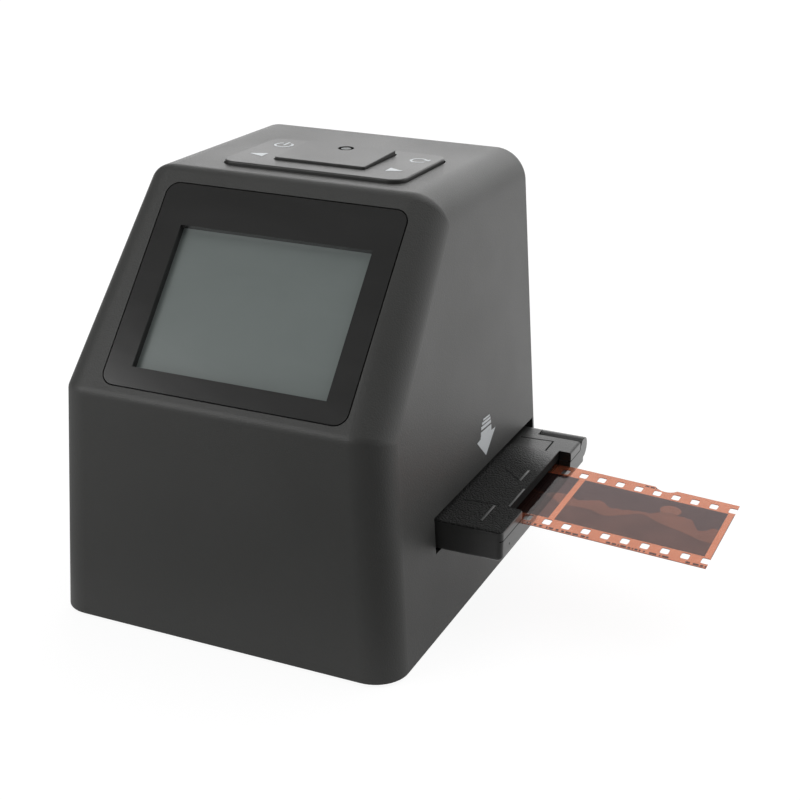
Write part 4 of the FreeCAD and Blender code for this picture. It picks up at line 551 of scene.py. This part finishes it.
def pick(piece, test, mode="VERT"):
    """In edit mode, selects the vertices, edges or faces whose middle, in the row frame, passes the test."""
    bpy.ops.mesh.select_all(action="DESELECT")
    bpy.ops.mesh.select_mode(type=mode)
    bpy.ops.object.mode_set(mode="OBJECT")
    data = piece.data
    place = piece.matrix_world
    if mode == "VERT":
        for vertex in data.vertices:
            vertex.select = test(place @ vertex.co)
    elif mode == "EDGE":
        for edge in data.edges:
            middle = (data.vertices[edge.vertices[0]].co + data.vertices[edge.vertices[1]].co) / 2
            edge.select = test(place @ middle)
    else:
        for face in data.polygons:
            face.select = test(place @ face.center)
    bpy.ops.object.mode_set(mode="EDIT")


def drag_corners(piece, goals):
    """Moves each vertex of a shape to its goal, in turn, and selects all of them."""
    starts = [piece.matrix_world @ vertex.co for vertex in piece.data.vertices]
    for start, goal in zip(starts, goals):
        pick(piece, lambda at: (at - start).length < NEAR)
        bpy.ops.transform.translate(value=goal - start)
    bpy.ops.mesh.select_mode(type="VERT")
    bpy.ops.mesh.select_all(action="SELECT")


def flat_arc(centre, outer, inner, turn_from, turn_to, steps=48):
    """A flat arc: a circle's edge extruded inwards, without the faces outside the two turns in degrees."""
    piece = start_edit(bpy.ops.mesh.primitive_circle_add, vertices=steps, radius=outer, location=centre,
                       fill_type="NOTHING")
    bpy.ops.mesh.extrude_edges_move()
    share = inner / outer
    bpy.ops.transform.resize(value=(share, share, 1.0), center_override=centre)

    def outside(middle):
        turn = math.degrees(math.atan2(middle.y - centre.y, middle.x - centre.x)) % 360.0
        return not turn_from <= turn <= turn_to and not turn_from <= turn + 360.0 <= turn_to
    pick(piece, outside, "FACE")
    bpy.ops.mesh.delete(type="FACE")
    return piece


def flat_triangle(*corners):
    """A flat triangle with its corners a little rounded."""
    piece = start_edit(bpy.ops.mesh.primitive_circle_add, vertices=3, radius=0.002,
                       location=sum(corners, Vector()) / 3, fill_type="NGON")
    drag_corners(piece, corners)
    bpy.ops.mesh.bevel(offset=SYMBOL_CORNER, segments=3, affect="VERTICES")
    return piece


def flat_outline(corners):
    """A flat shape with the given corners in turn: a circle with as many corners, each moved to its place."""
    piece = start_edit(bpy.ops.mesh.primitive_circle_add, vertices=len(corners), radius=0.1,
                       location=sum(corners, Vector()) / len(corners), fill_type="NOTHING")
    drag_corners(piece, corners)
    bpy.ops.mesh.edge_face_add()
    return piece


def flat_bar(start, end, width):
    """A straight flat bar between two points at one height."""
    side = Vector((0, 0, 1)).cross(end - start).normalized() * width / 2
    return flat_outline([start - side, end - side, end + side, start + side])


def join_flat(pieces):
    """Joins flat shapes into the first of them, in edit mode."""
    bpy.ops.object.mode_set(mode="OBJECT")
    bpy.ops.object.select_all(action="DESELECT")
    for piece in pieces:
        piece.select_set(True)
    bpy.context.view_layer.objects.active = pieces[0]
    bpy.ops.object.join()
    bpy.ops.object.mode_set(mode="EDIT")
    return pieces[0]


def give_thickness(piece, name, body, finish, thickness=INK, below=0.0):
    """Ends edit mode, gives a flat sheet its thickness upwards and lets it ride."""
    bpy.ops.mesh.select_all(action="SELECT")
    bpy.ops.mesh.normals_make_consistent(inside=False)
    bpy.ops.object.mode_set(mode="OBJECT")
    if piece.data.polygons[0].normal.z < 0:
        bpy.ops.object.mode_set(mode="EDIT")
        bpy.ops.mesh.flip_normals()
        bpy.ops.object.mode_set(mode="OBJECT")
    bpy.ops.object.transform_apply(location=True, rotation=True, scale=True)
    sheet = piece.modifiers.new("thickness", "SOLIDIFY")
    sheet.thickness = thickness + below
    sheet.offset = (thickness - below) / (thickness + below)
    bpy.ops.object.modifier_apply(modifier=sheet.name)
    piece.name = name
    piece.data.materials.clear()
    piece.data.materials.append(finish)
    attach(piece, body)
    piece.select_set(False)


# Symbols on the key plate: each is a thin film of ink

POWER_CENTRE = Vector((-0.0155, 0.0180, PLATE_TOP))
POWER_OUTER, POWER_INNER = 0.0024, 0.00185
POWER_TURNS = (118.0, 422.0)
POWER_BAR_LENGTH, POWER_BAR_WIDTH = 0.0030, 0.00055
RETURN_CENTRE = Vector((0.0210, 0.0173, PLATE_TOP))
RETURN_OUTER, RETURN_INNER = 0.0022, 0.00165
RETURN_TURNS = (42.0, 334.0)
RETURN_HEAD = ((0.0234, 0.0176), (0.0232, 0.0192), (0.0218, 0.0180))
LEFT_TRIANGLE = ((-0.0183, 0.00645), (-0.0143, 0.0047), (-0.0143, 0.0082))
RIGHT_TRIANGLE = ((0.0221, 0.0059), (0.0182, 0.0076), (0.0182, 0.0042))


def plate_triangle(corners):
    return flat_triangle(*[Vector((x, y, PLATE_TOP)) for x, y in corners])


def print_on_plate(piece, name):
    give_thickness(piece, name, "key_cover", PRINT_INK)


def power_symbol():
    """A ring that is open at its top, with a bar in the opening."""
    ring = flat_arc(POWER_CENTRE, POWER_OUTER, POWER_INNER, *POWER_TURNS)
    end_edit(ring)
    bar = flat_bar(POWER_CENTRE, POWER_CENTRE + Vector((0, POWER_BAR_LENGTH, 0)), POWER_BAR_WIDTH)
    print_on_plate(join_flat([ring, bar]), "print_power")


def return_symbol():
    """An arrow bent to most of a ring."""
    sweep = flat_arc(RETURN_CENTRE, RETURN_OUTER, RETURN_INNER, *RETURN_TURNS)
    end_edit(sweep)
    print_on_plate(join_flat([sweep, plate_triangle(RETURN_HEAD)]), "print_return")


power_symbol()
print_on_plate(plate_triangle(LEFT_TRIANGLE), "print_left")
print_on_plate(plate_triangle(RIGHT_TRIANGLE), "print_right")
return_symbol()


# The arrow over the tray slot: drawn flat, then turned onto the leaning side wall

WALL_LEAN_IN = 0.0068
WALL_HEIGHT = 0.1013
WALL_LEAN = math.atan2(WALL_LEAN_IN, WALL_HEIGHT)

# Corners and bars as places along the wall and heights, and the bars' widths
ARROW_HEAD = ((0.0112, 0.0335), (0.0058, 0.0386), (0.00805, 0.0388), (0.00825, 0.0394), (0.0153, 0.0391),
              (0.0153, 0.0385), (0.0179, 0.0384))
ARROW_STRIPES = (((0.0084, 0.0399), (0.0153, 0.03965), 0.0010), ((0.00875, 0.0413), (0.0152, 0.0410), 0.0008),
                 ((0.0094, 0.0423), (0.0149, 0.0420), 0.0006), ((0.0102, 0.0431), (0.0145, 0.0428), 0.00045))


def flat_side(y, z):
    """The place, drawn flat, of a point of the side wall: y runs along it and the height becomes -x."""
    return Vector((WALL_FOOT.x - (z - WALL_FOOT.z) / math.cos(WALL_LEAN), y, WALL_FOOT.z))


def print_on_wall(piece, name):
    """Gives the drawing its ink while it lies flat, then turns it about the wall's foot onto the wall."""
    give_thickness(piece, name, "housing", PRINT_INK)
    edit_again(piece)
    bpy.ops.mesh.select_all(action="SELECT")
    bpy.ops.transform.rotate(value=WALL_LEAN - math.pi / 2, orient_axis="Y", center_override=WALL_FOOT)
    end_edit(piece)


print_on_wall(flat_outline([flat_side(*corner) for corner in ARROW_HEAD]), "print_tray_arrow")
for number, (start, end, width) in enumerate(ARROW_STRIPES, 1):
    print_on_wall(flat_bar(flat_side(*start), flat_side(*end), width), "print_tray_arrow_stripe_%d" % number)


# Ridges with painted highlights, and engraved lines drawn as painted shade, on the lid of the tray

RIDGE_ROOT = 0.0002
TOP_SHARE = 0.9
BEVEL_SHARE = 0.8
SMOOTH_ANGLE = math.radians(40)
LINE_HEIGHT = 0.00002


def on_lid(point):
    return Vector((*point, LID_TOP))


def raised_bar(start, end, width, height, name):
    """A low rounded ridge on the lid, coloured lighter than the lid as a painted highlight."""
    piece = flat_bar(on_lid(start), on_lid(end), width)
    give_thickness(piece, name, "tray", RIDGE_HIGHLIGHT, height, RIDGE_ROOT)
    edit_again(piece)
    pick(piece, lambda middle: middle.z > LID_TOP + height * TOP_SHARE, "EDGE")
    bpy.ops.mesh.bevel(offset=height * BEVEL_SHARE, segments=3, affect="EDGES")
    bpy.ops.object.mode_set(mode="OBJECT")
    bpy.ops.object.shade_smooth_by_angle(angle=SMOOTH_ANGLE)
    piece.select_set(False)


def painted_groove_line(points, width, name):
    """An engraved line, drawn as a thin near-black sheet of painted shade on the lid."""
    legs = []
    for start, end in zip(points, points[1:]):
        legs.append(flat_bar(on_lid(start), on_lid(end), width))
        end_edit(legs[-1])
    give_thickness(join_flat(legs), name, "tray", GROOVE_SHADE, LINE_HEIGHT)


raised_bar((0.0517, -0.0152), (0.0517, -0.0065), width=0.0006, height=0.00018, name="tray_ridge_front")
raised_bar((0.0523, 0.0088), (0.0523, 0.0154), width=0.0006, height=0.00018, name="tray_ridge_middle")
raised_bar((0.0549, -0.0056), (0.0549, 0.0049), width=0.0005, height=0.00015, name="tray_mouth_edge")
painted_groove_line([(0.0433, 0.0346), (0.0519, 0.0353), (0.0520, 0.0289)], width=0.00045, name="tray_line_corner")
painted_groove_line([(0.0437, -0.0064), (0.0527, -0.0054)], width=0.0004, name="tray_line_front")
painted_groove_line([(0.0467, 0.0141), (0.0521, 0.0092)], width=0.0004, name="tray_line_middle")


# World, floor, lamps and camera

WHITE = (1.0, 1.0, 1.0, 1.0)
BRIGHT_SIDE = (0.42, 0.88, 0.22)
FLOOR_SIZE = 6.0
FLOOR_BEHIND = (0.35, 0.94, 0.0)
FLOOR_WHITE = 0.92
SHADOW_GREY = (0.13, 0.13, 0.13, 1.0)
PAPER_GREY = (0.80, 0.80, 0.80, 1.0)
FOOT_HALF_WIDTH = 0.045
FOOT_HALF_DEPTH = 0.048

# Smooth steps of light: the start and the end of what they follow, and the strengths before and after
WORLD_STEP = (0.05, 0.9, 0.15, 1.15)
LIGHT_BEHIND = (-0.03, 0.20, 0.0, 1.31)
LIGHT_AT_FOOT = (0.0, 0.06, 0.56, 0.0)
LIGHT_TO_LEFT = (-0.10, 0.0, 0.38, 0.0)


def weigh(tree, vector, direction):
    """How far a vector reaches in a direction."""
    node = add(tree, "ShaderNodeVectorMath", operation="DOT_PRODUCT")
    node.inputs[1].default_value = direction
    tree.links.new(vector, node.inputs[0])
    return node.outputs["Value"]


def either_shader(tree, share, first, second, output):
    """Goes from one shader to the other with the share, and on to the output."""
    mix = add(tree, "ShaderNodeMixShader")
    tree.links.new(share, mix.inputs[0])
    tree.links.new(first.outputs[0], mix.inputs[1])
    tree.links.new(second.outputs[0], mix.inputs[2])
    tree.links.new(mix.outputs[0], add(tree, output).inputs["Surface"])


def seen_rays(tree, path):
    """1 for what is seen directly or through clear parts."""
    return maths(tree, "MAXIMUM", path.outputs["Is Camera Ray"], path.outputs["Is Transmission Ray"])


def studio_world():
    """White where it is seen; the light that it gives is brighter behind the scanner than in front."""
    world = bpy.data.worlds.new("plain_studio")
    bpy.context.scene.world = world
    world.use_nodes = True
    tree = world.node_tree
    tree.nodes.clear()
    seen = seen_rays(tree, add(tree, "ShaderNodeLightPath"))
    bright = weigh(tree, add(tree, "ShaderNodeTexCoord").outputs["Generated"], BRIGHT_SIDE)
    soft = add(tree, "ShaderNodeBackground", Color=WHITE)
    tree.links.new(smooth_step(tree, bright, *WORLD_STEP), soft.inputs["Strength"])
    white = add(tree, "ShaderNodeBackground", Color=WHITE, Strength=1.0)
    either_shader(tree, seen, soft, white, "ShaderNodeOutputWorld")


def floor_shine(tree, place):
    """What gloss sees of the floor: light behind the scanner, close to its foot and to its left."""
    x, y, _ = split(tree, place)
    behind = smooth_step(tree, weigh(tree, place, FLOOR_BEHIND), *LIGHT_BEHIND)
    beside = maths(tree, "MAXIMUM", maths(tree, "SUBTRACT", maths(tree, "ABSOLUTE", x), FOOT_HALF_WIDTH), 0.0)
    before = maths(tree, "MAXIMUM", maths(tree, "SUBTRACT", maths(tree, "ABSOLUTE", y), FOOT_HALF_DEPTH), 0.0)
    at_foot = smooth_step(tree, maths(tree, "ADD", beside, before), *LIGHT_AT_FOOT)
    leftward = smooth_step(tree, x, *LIGHT_TO_LEFT)
    return maths(tree, "MAXIMUM", maths(tree, "ADD", behind, at_foot), leftward)


def paper_floor():
    """White paper that glows where it is seen and still keeps the scanner's shadow."""
    bpy.ops.mesh.primitive_plane_add(size=FLOOR_SIZE, location=(0.0, 0.0, 0.0))
    floor = bpy.context.object
    floor.name = "floor"
    paper = bpy.data.materials.new("white_paper")
    paper.use_nodes = True
    tree = paper.node_tree
    tree.nodes.clear()
    path = add(tree, "ShaderNodeLightPath")
    seen = seen_rays(tree, path)
    mirrored = path.outputs["Is Glossy Ray"]
    clear = maths(tree, "MAXIMUM", seen, product(tree, mirrored, floor_shine(tree, object_place(tree))))
    glow = add(tree, "ShaderNodeEmission", Color=WHITE)
    tree.links.new(product(tree, clear, FLOOR_WHITE), glow.inputs["Strength"])
    pale = add(tree, "ShaderNodeBsdfDiffuse", Color=SHADOW_GREY)
    both = add(tree, "ShaderNodeAddShader")
    tree.links.new(pale.outputs[0], both.inputs[0])
    tree.links.new(glow.outputs[0], both.inputs[1])
    diffuse = add(tree, "ShaderNodeBsdfDiffuse", Color=PAPER_GREY)
    either_shader(tree, maths(tree, "MAXIMUM", seen, mirrored), diffuse, both, "ShaderNodeOutputMaterial")
    floor.data.materials.append(paper)


def soft_lamp(name, place, target, width, height, power):
    """A large rectangular lamp that faces its target."""
    data = bpy.data.lights.new(name, "AREA")
    data.shape = "RECTANGLE"
    data.size = width
    data.size_y = height
    data.energy = power
    lamp = bpy.data.objects.new(name, data)
    bpy.context.scene.collection.objects.link(lamp)
    lamp.location = place
    lamp.rotation_euler = (Vector(target) - Vector(place)).to_track_quat("-Z", "Y").to_euler()


CAMERA_PLACE = (0.159176, -0.298911, 0.181191)
YAW = math.radians(22.9962)
PITCH = math.radians(-22.8516)
ROLL = math.radians(0.88996)
SENSOR_WIDTH = 36.0
LENS = 66.4375
SHIFT = (-0.03804, 0.02935)
CLIP = (0.01, 20.0)


def photo_camera():
    """A camera with the place, the turns and the lens that were solved from the photograph."""
    data = bpy.data.cameras.new("camera")
    camera = bpy.data.objects.new("camera", data)
    bpy.context.scene.collection.objects.link(camera)
    bpy.context.scene.camera = camera
    ahead = Vector((-math.sin(YAW) * math.cos(PITCH), math.cos(YAW) * math.cos(PITCH), math.sin(PITCH)))
    level = Vector((math.cos(YAW), math.sin(YAW), 0.0))
    upright = level.cross(ahead)
    across = math.cos(ROLL) * level + math.sin(ROLL) * upright
    upward = -math.sin(ROLL) * level + math.cos(ROLL) * upright
    turned = Matrix((across, upward, -ahead)).transposed().to_4x4()
    camera.matrix_world = Matrix.Translation(CAMERA_PLACE) @ turned
    data.sensor_width = SENSOR_WIDTH
    data.lens = LENS
    data.shift_x, data.shift_y = SHIFT
    data.clip_start, data.clip_end = CLIP
    data.dof.use_dof = False


studio_world()
paper_floor()
soft_lamp("lamp_over", place=(0.1, 0.25, 1.0), target=(0.0, 0.0, 0.05), width=1.2, height=1.2, power=4.0)
soft_lamp("lamp_behind", place=(-0.4, 1.45, 0.48), target=(0.0, 0.0, 0.08), width=1.8, height=0.85, power=7.3)
soft_lamp("lamp_front_left", place=(-0.7, -0.8, 0.55), target=(-0.02, 0.0, 0.05), width=0.7, height=0.7,
          power=5.5)
photo_camera()
bpy.context.scene.view_settings.view_transform = "Standard"
